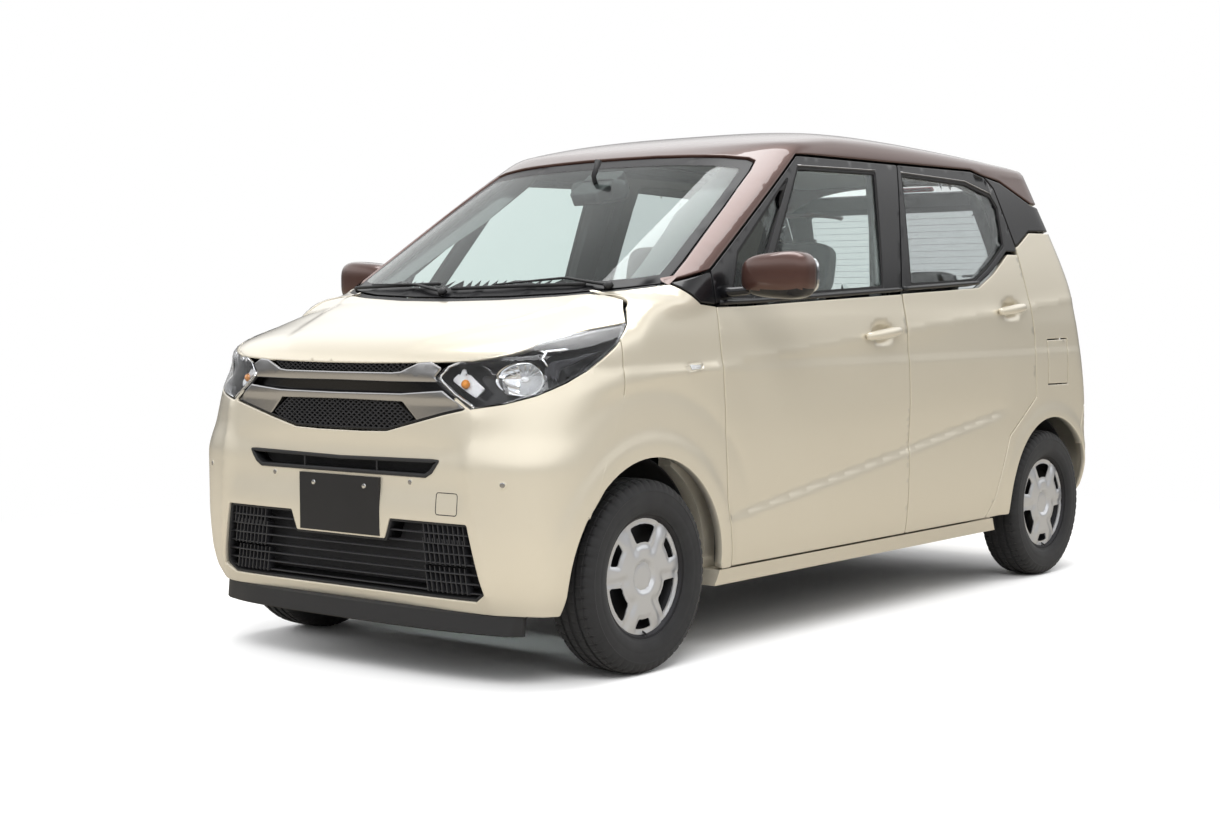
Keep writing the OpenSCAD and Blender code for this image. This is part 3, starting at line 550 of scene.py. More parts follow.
def both_sides(name, part, materials, bodies=BOTH_ROOT, slot=None):
    """The left part and its mirror image on the right, each on its own body."""
    v, f, *slots = part
    made = [make(f"{name}_left", v, f, materials, bodies[0], slot, slots=slots[0] if slots else
        None)]
    v, f = mirrored(v, f)
    made.append(make(f"{name}_right", v, f, materials, bodies[1], slot, slots=slots[0] if slots
        else None))
    return made


def lathe(profile, steps=96, closed=False):
    """Points turned round the X axis; profile rows are (x, radius)."""
    prof = np.asarray(profile, float)
    ang = 2 * math.pi * np.arange(steps) / steps
    v = [(x, r * math.cos(a), r * math.sin(a)) for a in ang for x, r in prof]
    m = len(prof)
    faces = []
    for i in range(steps):
        j = (i + 1) % steps
        for k in range(m if closed else m - 1):
            k2 = (k + 1) % m
            faces.append((i * m + k, j * m + k, j * m + k2, i * m + k2))
    return np.array(v), faces


def brick(low, high, bulge=0.0, cuts=(2, 2, 2)):
    """A box with a grid on every face, crowned by bulge millimetres."""
    low, high = np.asarray(low, float), np.asarray(high, float)
    ids, verts, faces = {}, [], []

    def vid(i, j, k):
        key = (i, j, k)
        if key not in ids:
            t = np.array([i / cuts[0], j / cuts[1], k / cuts[2]])
            c = 2 * t - 1
            puff = 1 - c ** 2
            p = low + (high - low) * t
            for a in range(3):
                b, d = (a + 1) % 3, (a + 2) % 3
                p[a] += bulge * c[a] * puff[b] * puff[d]
            ids[key] = len(verts)
            verts.append(p)
        return ids[key]

    turn = ((0, 0), (0, 1), (1, 1), (1, 0))
    for axis, p, q in ((2, 0, 1), (1, 0, 2), (0, 1, 2)):
        for i in range(cuts[p]):
            for j in range(cuts[q]):
                for end in (0, cuts[axis]):
                    back = (end == 0) == (axis == 1)
                    face = []
                    for di, dj in (turn[:1] + turn[:0:-1] if back else turn):
                        key = [end] * 3
                        key[p], key[q] = i + di, j + dj
                        face.append(vid(*key))
                    faces.append(tuple(face))
    return np.array(verts), faces


def tube(path, radius, sides=12, flat=1.0):
    """A round or flattened bar along a path of points."""
    path = np.asarray(path, float)
    radii = np.broadcast_to(np.asarray(radius, float), (len(path),))
    tangent = np.gradient(path, axis=0)
    tangent /= np.linalg.norm(tangent, axis=1, keepdims=True) + TINY
    up = np.array([0, 0, 1.0]) if abs(tangent[0][2]) < 0.9 else np.array([1.0, 0, 0])
    verts, faces = [], []
    for p, t, r in zip(path, tangent, radii):
        a = np.cross(t, up)
        a /= np.linalg.norm(a) + TINY
        b = np.cross(a, t)
        for k in range(sides):
            w = 2 * math.pi * k / sides
            verts.append(p + r * (math.cos(w) * a + flat * math.sin(w) * b))
    n = len(path)
    for i in range(n - 1):
        for k in range(sides):
            m = (k + 1) % sides
            faces.append((i * sides + k, i * sides + m, (i + 1) * sides + m, (i + 1) * sides + k))
    faces += [tuple(reversed(range(sides))), tuple(range((n - 1) * sides, n * sides))]
    return np.array(verts), faces


# ---------------------------------------------------------------- materials

def add(tree, kind, inputs=None, **settings):
    """A new node with its settings; inputs are constants or the sockets that feed them."""
    node = tree.nodes.new(kind)
    for key, value in settings.items():
        setattr(node, key, value)
    for key, value in (inputs or {}).items():
        if isinstance(value, bpy.types.NodeSocket):
            tree.links.new(value, node.inputs[key])
        else:
            node.inputs[key].default_value = value
    return node


GRAINS = {
    "weave": ("ShaderNodeTexBrick", "Color", {"Color1": (1, 1, 1, 1), "Color2": (0.72, 0.72, 0.72,
        1), "Mortar": (0.1, 0.1, 0.1, 1), "Mortar Size": 0.03}),
    "cells": ("ShaderNodeTexVoronoi", "Distance", {}),
    "noise": ("ShaderNodeTexNoise", "Fac", {"Detail": 2}),
}
BUMP_HEIGHT = 0.0006


def node_material(name, color, metallic=0.0, roughness=0.5, coat=0.0, coat_rough=0.03, bump=0.0,
                  grain=400.0, vary=0.0, vary_scale=6.0, rough_vary=0.05, transmission=0.0,
                  ior=1.45, sheen=0.0, pattern="noise", second=None, specular=0.5):
    """A procedural finish on Object coordinates: colour drift, fine grain, uneven gloss."""
    mat = bpy.data.materials.new(name)
    mat.use_nodes = True
    tree = mat.node_tree
    tree.nodes.clear()
    shader = add(tree, "ShaderNodeBsdfPrincipled", {"Metallic": metallic, "Roughness": roughness,
        "Coat Weight": coat, "Coat Roughness": coat_rough, "Transmission Weight": transmission,
        "IOR": ior, "Sheen Weight": sheen, "Specular IOR Level": specular})
    add(tree, "ShaderNodeOutputMaterial", {"Surface": shader.outputs["BSDF"]})
    place = add(tree, "ShaderNodeTexCoord").outputs["Object"]
    drift = add(tree, "ShaderNodeTexNoise", {"Scale": vary_scale, "Detail": 3, "Vector": place})
    kind, result, extra = GRAINS[pattern]
    height = add(tree, kind, {"Scale": grain, "Vector": place, **extra}).outputs[result]
    other = second or [c * (1 - vary) for c in color]
    mix = add(tree, "ShaderNodeMix", {0: height if second else drift.outputs["Fac"], 6: (*color,
        1), 7: (*other, 1)}, data_type="RGBA")
    tree.links.new(mix.outputs[2], shader.inputs["Base Color"])
    if rough_vary:
        spread = add(tree, "ShaderNodeMapRange", {"To Min": max(0.0, roughness - rough_vary),
            "To Max": min(1.0, roughness + rough_vary), "Value": drift.outputs["Fac"]})
        tree.links.new(spread.outputs["Result"], shader.inputs["Roughness"])
    if bump:
        relief_node = add(tree, "ShaderNodeBump", {"Strength": bump, "Distance": BUMP_HEIGHT,
            "Height": height})
        tree.links.new(relief_node.outputs["Normal"], shader.inputs["Normal"])
    return mat


BELT_HEIGHT = 1.02
FINISH = {}


def mix_paints(look):
    """Every finish used on the car, from the sidebar's colours."""
    body, top = tuple(look.body_colour), tuple(look.roof_colour)
    specs = {
        "body_paint": dict(color=body, metallic=0.55, roughness=0.30, coat=1.0, coat_rough=0.02,
            bump=0.05, grain=2600.0, vary=0.05, vary_scale=900.0, rough_vary=0.03),
        "roof_paint": dict(color=top, metallic=0.6, roughness=0.36, coat=1.0, coat_rough=0.02,
            bump=0.05, grain=2600.0, vary=0.16, vary_scale=900.0, rough_vary=0.03),
        "gloss_black": dict(color=(0.006, 0.006, 0.007), roughness=0.2, coat=0.2, vary=0.2,
            bump=0.02, grain=300),
        "grained_black": dict(color=(0.016, 0.016, 0.017), roughness=0.52, bump=0.25, grain=900.0,
            vary=0.2),
        "mesh_black": dict(color=(0.02, 0.02, 0.022), roughness=0.34, bump=0.1, grain=700.0,
            vary=0.2),
        "window_glass": dict(color=(0.80, 0.88, 0.86), roughness=0.0, transmission=1.0, ior=1.22,
            vary=0.01, rough_vary=0),
        "privacy_glass": dict(color=(0.62, 0.65, 0.65), roughness=0.0, transmission=1.0, ior=1.22,
            vary=0.01, rough_vary=0),
        "lamp_glass": dict(color=(0.97, 0.98, 1.0), roughness=0.0, transmission=1.0, ior=1.3,
            vary=0.01, rough_vary=0),
        "red_lens": dict(color=(0.42, 0.01, 0.015), roughness=0.12, coat=1.0, vary=0.35,
            pattern="cells", grain=160.0, bump=0.3),
        "white_lens": dict(color=(0.78, 0.79, 0.80), roughness=0.12, coat=1.0, vary=0.15,
            pattern="cells", grain=200.0, bump=0.3),
        "smoke_lens": dict(color=(0.05, 0.012, 0.014), roughness=0.08, coat=1.0, vary=0.2),
        "amber": dict(color=(0.85, 0.30, 0.02), roughness=0.2, vary=0.2),
        "chrome": dict(color=(0.86, 0.87, 0.88), metallic=1.0, roughness=0.07, vary=0.03,
            rough_vary=0.03),
        "satin": dict(color=(0.58, 0.58, 0.59), metallic=1.0, roughness=0.24, vary=0.08,
            rough_vary=0.05, bump=0.05, grain=1200.0),
        "wheel_silver": dict(color=(0.62, 0.63, 0.65), metallic=0.75, roughness=0.34, coat=0.7,
            vary=0.06, bump=0.05, grain=2000.0),
        "steel_dark": dict(color=(0.05, 0.05, 0.055), metallic=0.8, roughness=0.5, vary=0.4,
            bump=0.3, grain=120.0, rough_vary=0.15),
        "disc_steel": dict(color=(0.35, 0.34, 0.33), metallic=1.0, roughness=0.35, vary=0.2,
            vary_scale=30, rough_vary=0.12),
        "tyre_rubber": dict(color=(0.016, 0.016, 0.017), roughness=0.72, bump=0.35, grain=260.0,
            vary=0.3, vary_scale=20.0, rough_vary=0.1, sheen=0.05),
        "seal_rubber": dict(color=(0.010, 0.010, 0.011), roughness=0.6, bump=0.2, grain=500.0,
            vary=0.3),
        "underseal": dict(color=(0.02, 0.02, 0.022), roughness=0.8, bump=0.6, grain=140.0,
            vary=0.5, pattern="cells"),
        "cabin_soft": dict(color=(0.022, 0.022, 0.024), roughness=0.62, bump=0.4, grain=520.0,
            vary=0.2, pattern="cells"),
        "cabin_light": dict(color=(0.19, 0.175, 0.16), roughness=0.7, bump=0.35, grain=600.0,
            vary=0.15),
        "headliner": dict(color=(0.30, 0.285, 0.26), roughness=0.95, bump=0.5, grain=900.0,
            vary=0.1, sheen=0.3, pattern="weave"),
        "seat_cloth": dict(color=(0.035, 0.031, 0.030), roughness=0.9, bump=0.7, grain=480.0,
            vary=0.25, sheen=0.35, pattern="weave", second=(0.015, 0.014, 0.014)),
        "seat_side": dict(color=(0.022, 0.021, 0.021), roughness=0.85, bump=0.5, grain=620.0,
            vary=0.2, sheen=0.3, pattern="weave"),
        "carpet": dict(color=(0.025, 0.024, 0.023), roughness=1.0, bump=0.9, grain=700.0,
            vary=0.4),
        "mirror_glass": dict(color=(0.80, 0.82, 0.84), metallic=1.0, roughness=0.02, vary=0.01,
            rough_vary=0.01),
        "screen_dark": dict(color=(0.006, 0.007, 0.009), roughness=0.08, coat=1.0, vary=0.2),
        "plate_black": dict(color=(0.012, 0.012, 0.013), roughness=0.35, bump=0.05, grain=500.0,
            vary=0.25),
        "frit": dict(color=(0.006, 0.006, 0.007), roughness=0.3, specular=0.25, vary=0.2),
        "exhaust_steel": dict(color=(0.30, 0.28, 0.26), metallic=1.0, roughness=0.45, vary=0.4,
            vary_scale=14, rough_vary=0.15, bump=0.2, grain=90.0),
    }
    for key, spec in specs.items():
        FINISH[key] = node_material(key, **spec)
    FINISH["body_shell"] = two_tone(node_material("body_shell", **specs["body_paint"]), body)


def node_of(tree, kind):
    return next(n for n in tree.nodes if n.type == kind)


def two_tone(material, body):
    """Body paint below the belt that turns into dark trim above it."""
    tree = material.node_tree
    split = add(tree, "ShaderNodeSeparateXYZ", {0: add(tree,
        "ShaderNodeTexCoord").outputs["Object"]})
    above = add(tree, "ShaderNodeMath", {0: split.outputs["Z"], 1: BELT_HEIGHT},
        operation="GREATER_THAN").outputs[0]
    tint = add(tree, "ShaderNodeMix", {0: above, 6: (*body, 1), 7: (0.02, 0.02, 0.021, 1)},
        data_type="RGBA")
    metal = add(tree, "ShaderNodeMapRange", {"To Min": 0.55, "To Max": 0.0, "Value": above})
    shader = node_of(tree, "BSDF_PRINCIPLED")
    tree.links.new(tint.outputs[2], shader.inputs["Base Color"])
    tree.links.new(metal.outputs["Result"], shader.inputs["Metallic"])
    return material


# ---------------------------------------------------------------- shut lines, from the CAD panels

def lift(view, points):
    """Points on the smooth surface under flat outline points."""
    return cast(view, np.asarray(points, float))


FRONT_GLASS = [(-612, 1067), (116, 1098), (190, 1492), (-290, 1485)]
QUARTER_GLASS = [(-768, 1066), (-646, 1066), (-338, 1462), (-470, 1372), (-700, 1206)]
REAR_GLASS = [(294, 1107), (760, 1126), (868, 1171), (1020, 1254), (1024, 1400), (985, 1445), (804,
    1484), (358, 1494)]
BONNET_SIDE = [(-1688, 890), (-1640, 894), (-1560, 925), (-1480, 955), (-1350, 982), (-1236, 999),
    (-1200, 1040), (-1142, 1086)]
COWL = [(660, -1118), (560, -1148), (400, -1196), (200, -1233), (0, -1245)]
FLAP = [(1279, 735), (1279, 905), (1446, 907), (1446, 733)]
LAMP_LOW = [(366, -1661, 849), (420, -1648, 806), (480, -1622, 768), (560, -1594, 782), (632,
    -1560, 804), (680, -1490, 838), (715, -1420, 874), (712, -1320, 935), (700, -1236, 999)]
LAMP_TOP = [(700, -1236, 999), (665, -1350, 982), (617, -1480, 956), (540, -1572, 926), (431,
    -1640, 896), (395, -1655, 880)]
def run(view, points, step):
    """Surface points along an open flat outline, no further apart than step."""
    return lift(view, resample(points, step, closed=False))


def trace(view, points, depth):
    """Points below the unpressed surface under flat points."""
    return on_body(view, points, depth, False)[0]


def mirror_loop(half):
    """A closed outline from its left half, which starts and ends on the centre line."""
    half = np.asarray(half, float)
    return np.concatenate([half, (half * (-1, 1))[::-1][1:-1]])


def spread_out(outline, least):
    """The outline without points nearer than least to the one before."""
    return outline[np.linalg.norm(outline - np.roll(outline, 1, 0), axis=1) > least]


def flipped(part):
    """A part with its faces turned over."""
    v, f = part
    return v, [tuple(reversed(q)) for q in f]


def circle_arc(axle, radius, start, end, count=24):
    angles = np.radians(np.linspace(start, end, count))
    return [(axle + radius * math.cos(a), HUB + radius * math.sin(a)) for a in angles]


# ---------------------------------------------------------------- operators' work

def build_doors():
    """The four doors: painted skins, black frames, trims, seals, handles and glass."""
    front_low = [(-848, 1042), (-847, 955), (-828, 743), (-814, 466), (-783, 262), (236, 262),
        (247, 707), (227, 1080), (-300, 1060), (-700, 1044)]
    rear_low = [(231, 1082), (247, 707), (236, 262), (805, 262), (864, 326), (973, 556), (1080,
        625), (1178, 690), (1176, 922), (1116, 1228), (1036, 1228), (905, 1156), (775, 1104), (500,
        1092)]
    front_frame = [(-846, 1049), (-700, 1051), (-300, 1067), (227, 1087), (345, 1526), (-277,
        1523), (-848, 1147)]
    rear_frame = [(231, 1089), (500, 1099), (775, 1111), (903, 1163), (1034, 1235), (1114, 1235),
        (1111, 1255), (1020, 1470), (960, 1512), (866, 1529), (345, 1526)]
    crease = [(y, shoulder_z(y)) for y in np.linspace(-840, 1180, 60)]
    sculpt = [(y, sculpt_z(y)) for y in np.linspace(-790, 960, 60)]
    bodies = {"front": FRONT_DOORS, "rear": REAR_DOORS}
    reach = round(bpy.context.scene.kei_car_sizes.handle_reach / MM, 2)
    for place, low, frame_line, windows, grip_y, grip_z in (("front", front_low, front_frame,
            [FRONT_GLASS, QUARTER_GLASS], (-46, 177), 947), ("rear", rear_low, rear_frame,
            [REAR_GLASS], (882, 1094), 1022)):
        mid = (grip_y[0] + grip_y[1]) / 2 + 8

        def dish(p, mid=mid, grip_z=grip_z):
            r = np.hypot((p[:, 1] - mid) / 66, (p[:, 2] - grip_z) / 30)
            return 17 * step_up((1.12 - r) / 0.5)

        cups = [[(mid + wide * math.cos(t), grip_z + high * math.sin(t)) for t in np.linspace(0,
            6.2832, count)] for wide, high, count in ((80, 38, 40), (52, 22, 30))]
        both_sides(f"{place}_door_skin", plate("side", low, thick=22, lines=[crease, sculpt,
            *cups], step=17, shape=dish), "body_paint", bodies[place])
        both_sides(f"{place}_window_frame", plate("side", frame_line, thick=46, depth=1.5,
            holes=windows, step=20, pressed=False, hole_gap=-1.0, edge=1.6), "gloss_black",
            bodies[place])
        for n, pane in enumerate(windows):
            tint = "privacy_glass" if place == "rear" else "window_glass"
            both_sides(f"{place}_door_glass_{n}", plate("side", pane, thick=4, depth=7, gap=-5,
                edge=0.6, step=34, pressed=False), tint, bodies[place], "dark_glass" if place ==
                "rear" else "clear_glass")
            both_sides(f"{place}_window_seal_{n}", plate("side", pane, thick=9, depth=3.2, gap=-3,
                edge=1.0, step=30, pressed=False, holes=[shrink(resample(pane, 300), 9)]),
                "seal_rubber", bodies[place], "seal_rubber")
        both_sides(f"{place}_door_card", plate("side", shrink(resample(low, 400), 16), thick=26,
            depth=30, gap=0, edge=5, step=40, pressed=False, shape=lambda p: 10 * step_up((70 -
            np.abs(p[:, 2] - 720)) / 40) * step_up((90000 - (p[:, 1] - (-300 if p[:, 1].mean() < 0
            else 620)) ** 2) / 30000)), "cabin_soft", bodies[place])
        rows = []
        for y in np.linspace(grip_y[0] + 4, grip_y[1] - 4, 22):
            t = (y - grip_y[0]) / (grip_y[1] - grip_y[0])
            base, _ = on_body("side", [(y, grip_z + 0.081 * (y - sum(grip_y) / 2))])
            stand = reach * math.sin(math.pi * min(1, max(0, t))) ** 0.28
            rows.append(base[0] + (stand - 4, 0, 0))
        bar = tube(rows, [7 + 6 * math.sin(math.pi * i / 21) ** 0.5 for i in range(22)], 16, 1.35)
        both_sides(f"{place}_door_handle", bar, "body_paint", bodies[place])
        for side, node in zip(("left", "right"), bodies[place]):
            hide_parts(node)
            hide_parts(f"{place}_door_glass_{side}")
    for name, pts, doors in (("front_belt_strip", [(-830, 1052), (-620, 1058), (-300, 1071), (222,
            1094)], FRONT_DOORS), ("rear_belt_strip", [(236, 1096), (500, 1107), (772, 1119)],
            REAR_DOORS)):
        path = trace("side", resample(pts, 30, closed=False), -1.5)
        both_sides(name, tube(path, 6.5, 10, 1.2), "gloss_black", doors)
    for name, pts, doors in (("front_window_bright", [(-286, 1490), (60, 1496), (188, 1498)],
            FRONT_DOORS), ("rear_window_bright", [(358, 1500), (804, 1490), (985, 1451)],
            REAR_DOORS)):
        path = trace("side", resample(pts, 30, closed=False), 1.0)
        both_sides(name, tube(path, 2.6, 8, 0.7), "satin", doors)


def build_fenders():
    """Front wings with their arch lips, and the clear side repeaters."""
    arch = circle_arc(FRONT_AXLE, FRONT_ARCH, 180 - 33, 0, 30)
    bumper_edge = [(-1310, 590), (-1303, 800), (-1300, 955)]
    top = [(-1300, 950), (-1236, 999), (-1200, 1040), (-1142, 1086), (-1100, 1092), (-1004, 1108),
        (-922, 1049), (-848, 1042)]
    rear = [(-848, 1042), (-847, 955), (-828, 743), (-814, 466), (-783, 262)]
    path = bumper_edge[1:] + top[1:] + rear[1:] + [(-835, 262)] + [p for p in reversed(arch) if
        p[1] > 262]
    crease = [(y, shoulder_z(y)) for y in np.linspace(-1290, -850, 30)]
    ring = circle_arc(FRONT_AXLE, FRONT_ARCH + 84, 150, -10, 40)
    both_sides("front_wing", plate("side", path, thick=26, lines=[crease, ring], step=15, gap=1.8,
        edge=1.6, corner=3), "body_paint")
    both_sides("side_repeater", plate("side", [(-1012, 852), (-948, 857), (-938, 872), (-950, 884),
        (-1008, 880), (-1022, 866)], thick=10, depth=-5, gap=0, edge=2.5, step=9, corner=6),
        "lamp_glass")
    both_sides("side_repeater_bulb", plate("side", [(-1000, 858), (-955, 861), (-950, 872), (-1004,
        874)], thick=4, depth=-1, gap=0, edge=1, step=9, corner=5), "white_lens")
    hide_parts("front_fenders")


def build_quarters():
    """Rear wings, the fuel flap, and the black rear pillar covers."""
    line = [(864, 326), (973, 556), (1080, 625), (1178, 690), (1176, 922), (1111, 1255), (1135,
        1262), (1240, 1313), (1497, 1316), (1530, 1180), (1545, 1120), (1558, 1041), (1640, 893)]
    tail = [(612, 893), (608, 780), (604, 648)]
    ring_pts = circle_arc(REAR_AXLE, REAR_ARCH, 40, 176, 40)
    head = run("side", [(805, 262)] + line, 60)
    foot = lift("side", [(1600, 640), (1560, 560)] + ring_pts + [(984, 262)])
    crease = [(y, shoulder_z(y)) for y in np.linspace(1180, 1600, 30)]
    ring = circle_arc(REAR_AXLE, REAR_ARCH + 66, 30, 175, 40)
    uv = flatten("tail", np.concatenate([head, run("rear", tail, 40), foot]))
    crease_uv = flatten("tail", lift("side", crease))
    ring_uv = flatten("tail", lift("side", ring))
    flap_uv = flatten("tail", lift("side", resample(FLAP, 60)))
    for side, holes in (("left", [flap_uv]), ("right", [])):
        skin = plate("tail", uv, thick=26, lines=[crease_uv, ring_uv], step=16, holes=holes,
            hole_gap=2.5)
        if side == "right":
            skin = mirrored(*skin)
        make(f"rear_wing_{side}", *skin, "body_paint")
    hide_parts("rear_quarters")
    flap = make("fuel_door", *plate("tail", flap_uv, thick=14, gap=2.5, step=16), "body_paint",
        "fuel_flap")
    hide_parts("fuel_flap")
    make("fuel_well", *brick((650, 1290, 750), (684, 1436, 890), 0, (2, 2, 2)), "underseal",
        smooth=False)
    v, f = lathe([(684, 0), (684, 34), (700, 34), (704, 30), (704, 0)], 40)
    v = v + (0, 1362, 820)
    sharpen(make("fuel_cap", v, f, "grained_black"))
    trim = [(1111, 1257), (1135, 1264), (1240, 1316), (1484, 1320), (1405, 1409), (1300, 1420),
        (1080, 1497), (960, 1514), (1020, 1470)]
    trim_uv = flatten("tail", lift("side", resample(trim, 50)))
    fold_line = flatten("tail", lift("side", [(1135, 1270), (1240, 1400), (1270, 1425)]))
    both_sides("rear_pillar_cover", plate("tail", trim_uv, thick=20, depth=1, gap=2.2, step=18,
        pressed=False, lines=[fold_line]), "gloss_black")
    both_sides("mirror_triangle", plate("side", [(-1002, 1112), (-920, 1052), (-848, 1046), (-848,
        1146)], thick=20, depth=1, gap=2.2, step=16, pressed=False, corner=4), "gloss_black")
    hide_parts("pillar_trims")


def build_bonnet():
    """The bonnet with its two raised creases."""
    edge3d = run("side", BONNET_SIDE, 40)
    front_x = np.linspace(edge3d[0][0], 0, 16)[:-1]
    front3d = lift("front", [(x, 886 + 4 * (x / edge3d[0][0]) ** 2) for x in front_x])
    rear3d = run("top", COWL, 40)
    half = flatten("fan", np.concatenate([edge3d, rear3d]))
    nose = flatten("fan", front3d)
    outline = spread_out(np.concatenate([nose[::-1], half, (half * (-1, 1))[::-1][1:], (nose * (-1,
        1))[1:]]), 2)
    creases = []
    for s in (1, -1):
        pts = lift("top", [(s * x, y) for x, y in ((250, -1660), (330, -1560), (410, -1420), (470,
            -1290), (505, -1190))])
        creases.append(flatten("fan", pts))

    def rise(p):
        at = np.interp(p[:, 1], [-1680, -1560, -1420, -1290, -1190], [235, 330, 410, 470, 505])
        s = np.abs(p[:, 0]) - at
        fade = step_up((p[:, 1] + 1700) / 120)
        return (-5.5 * step_up((30 - s) / 46) + 1.5) * fade

    obj = make("bonnet_skin", *plate("fan", outline, thick=14, gap=1.8, lines=creases, step=15,
        shape=rise, corner=3), "body_paint", "bonnet")
    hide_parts("bonnet")
    inner = shrink(outline, 45)
    make("bonnet_lining", *plate("fan", inner, thick=22, depth=12, gap=0, edge=5, step=40,
        pressed=False), "underseal", "bonnet")


SCREEN_SIDE = [(652, 1112), (640, 1180), (600, 1350), (565, 1470), (548, 1503)]
SCREEN_TOP = [(548, 1503), (520, 1513), (430, 1524), (300, 1532), (150, 1537), (0, 1538)]


def build_roof():
    """Brown roof with its screen pillars and rear corners, and the aerial."""
    screen = run("front", SCREEN_SIDE + SCREEN_TOP[1:], 24)
    side = run("side", [(-1002, 1116), (-848, 1150), (-277, 1526), (345, 1529), (866, 1532), (960,
        1515), (1080, 1500), (1300, 1423), (1488, 1420)], 30)
    corner = run("rear", [(598, 1419), (556, 1419), (554, 1470), (553, 1530)], 24)
    lip = run("top", [(553, 1328), (300, 1325), (0, 1325)], 30)
    left = np.concatenate([screen[::-1], side, corner, lip])
    outline = np.concatenate([left, (left * (-1, 1, 1))[::-1][1:-1]])
    skin = make("roof_skin", *plate("vault", spread_out(flatten("vault", outline), 1.5), thick=24,
        gap=1.8, step=20, pressed=False), "roof_paint")
    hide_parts("roof")
    inner = [(-340, -520), (-340, 520), (1290, 520), (1290, -520)]
    make("headliner", *plate("vault", inner, thick=10, depth=42, gap=0, step=50, edge=6,
        pressed=False, corner=60), "headliner")


def border_slots(view, v, f, outline, width):
    """Slot 1 for the faces that lie within a width of the outline."""
    middle = np.array([np.mean([v[i] for i in q], axis=0) for q in f])
    return (gap_to(flatten(view, middle), resample(outline, 60)) < width).astype(int)


def build_glass():
    """Windscreen with its black border, tailgate glass, sensor box and heater lines."""
    bottom = [(0, 1076), (200, 1078), (400, 1086), (560, 1100)]
    outline = mirror_loop(SCREEN_TOP[::-1] + SCREEN_SIDE[-2::-1] + bottom[::-1])
    inner = shrink(resample(outline, 40), 30)
    v, f = plate("front", outline, thick=5, depth=6, gap=3, edge=0.8, step=36, pressed=False,
        lines=[np.concatenate([inner, inner[:1]])])
    pane = make("windscreen_glass", v, f, ("window_glass", "frit"), slots=border_slots("front", v,
        f, outline, 31))
    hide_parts("windscreen")
    make("sensor_box", *plate("front", [(-75, 1500), (75, 1500), (62, 1418), (-62, 1418)],
        thick=42, depth=13, gap=0, edge=4, step=20, pressed=False, corner=18), "grained_black")
    glass = [(-532, 1072), (532, 1072), (508, 1300), (470, 1452), (-470, 1452), (-508, 1300)]
    uv = flatten("back fan", lift("rear", resample(glass, 40)))
    inner = shrink(resample(uv, 40), 24)
    v, f = plate("back fan", uv, thick=5, depth=3, gap=3, edge=0.8, step=36, pressed=False,
        corner=40, lines=[np.concatenate([inner, inner[:1]])])
    rear = make("tailgate_glass_pane", v, f, ("privacy_glass", "frit"), "tailgate",
        slots=border_slots("back fan", v, f, uv, 25))
    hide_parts("tailgate_glass")
    paths = []
    for z in np.arange(1110, 1430, 26):
        half = np.interp(z, [1072, 1300, 1452], [500, 478, 440])
        paths.append(trace("rear", [(x, z) for x in np.linspace(-half, half, 15)], 9.0))
    strip_lines("heater_lines", paths, 0.7, "mesh_black", "tailgate", "black_plastic")


def repeat_tree(name, item, material):
    """A node tree that copies one mesh to every point, turned by the point's own angles."""
    tree = bpy.data.node_groups.new(name, "GeometryNodeTree")
    face = tree.interface
    face.new_socket("Geometry", in_out="INPUT", socket_type="NodeSocketGeometry")
    size = face.new_socket("Size", in_out="INPUT", socket_type="NodeSocketFloat")
    face.new_socket("Geometry", in_out="OUTPUT", socket_type="NodeSocketGeometry")
    start = add(tree, "NodeGroupInput")
    info = add(tree, "GeometryNodeObjectInfo", {"Object": item})
    turn = add(tree, "GeometryNodeInputNamedAttribute", {"Name": "turn"}, data_type="FLOAT_VECTOR")
    place = add(tree, "GeometryNodeInstanceOnPoints", {"Points": start.outputs["Geometry"],
        "Instance": info.outputs["Geometry"], "Rotation": turn.outputs["Attribute"], "Scale":
        start.outputs["Size"]})
    real = add(tree, "GeometryNodeRealizeInstances", {"Geometry": place.outputs["Instances"]})
    paint = add(tree, "GeometryNodeSetMaterial", {"Geometry": real.outputs["Geometry"], "Material":
        material})
    add(tree, "NodeGroupOutput", {"Geometry": paint.outputs["Geometry"]})
    return tree, size.identifier


def scatter(name, points, turns, item, material, body=ROOT):
    """A plain mesh of one item repeated at many points (millimetres)."""
    v, f = item
    mesh = bpy.data.meshes.new(name + "_item")
    mesh.from_pydata((np.asarray(v) * MM).tolist(), [], f)
    mesh.materials.append(FINISH[material])
    source = bpy.data.objects.new(name + "_item", mesh)
    cloud = bpy.data.meshes.new(name)
    cloud.from_pydata((np.asarray(points, float) * MM).tolist(), [], [])
    layer = cloud.attributes.new("turn", "FLOAT_VECTOR", "POINT")
    layer.data.foreach_set("vector", np.asarray(turns, np.float32).ravel())
    host = placed(name + "_points", cloud)
    tree, size = repeat_tree(name, source, FINISH[material])
    modifier = host.modifiers.new("Repeat", "NODES")
    modifier.node_group = tree
    modifier[size] = 1.0
    bpy.context.view_layer.update()
    graph = bpy.context.evaluated_depsgraph_get()
    final = bpy.data.meshes.new_from_object(host.evaluated_get(graph))
    final.name = name
    host.modifiers.clear()
    for used in (host, source):
        bpy.data.objects.remove(used)
    bpy.data.meshes.remove(cloud)
    return ride_on(placed(name, final), body)


def strip_lines(name, paths, radius, material, body, slot):
    parts = [(*tube(p, radius, 6), 0) for p in paths]
    v, f, s = merge(parts)
    return make(name, v, f, [material], body, slot, slots=s)


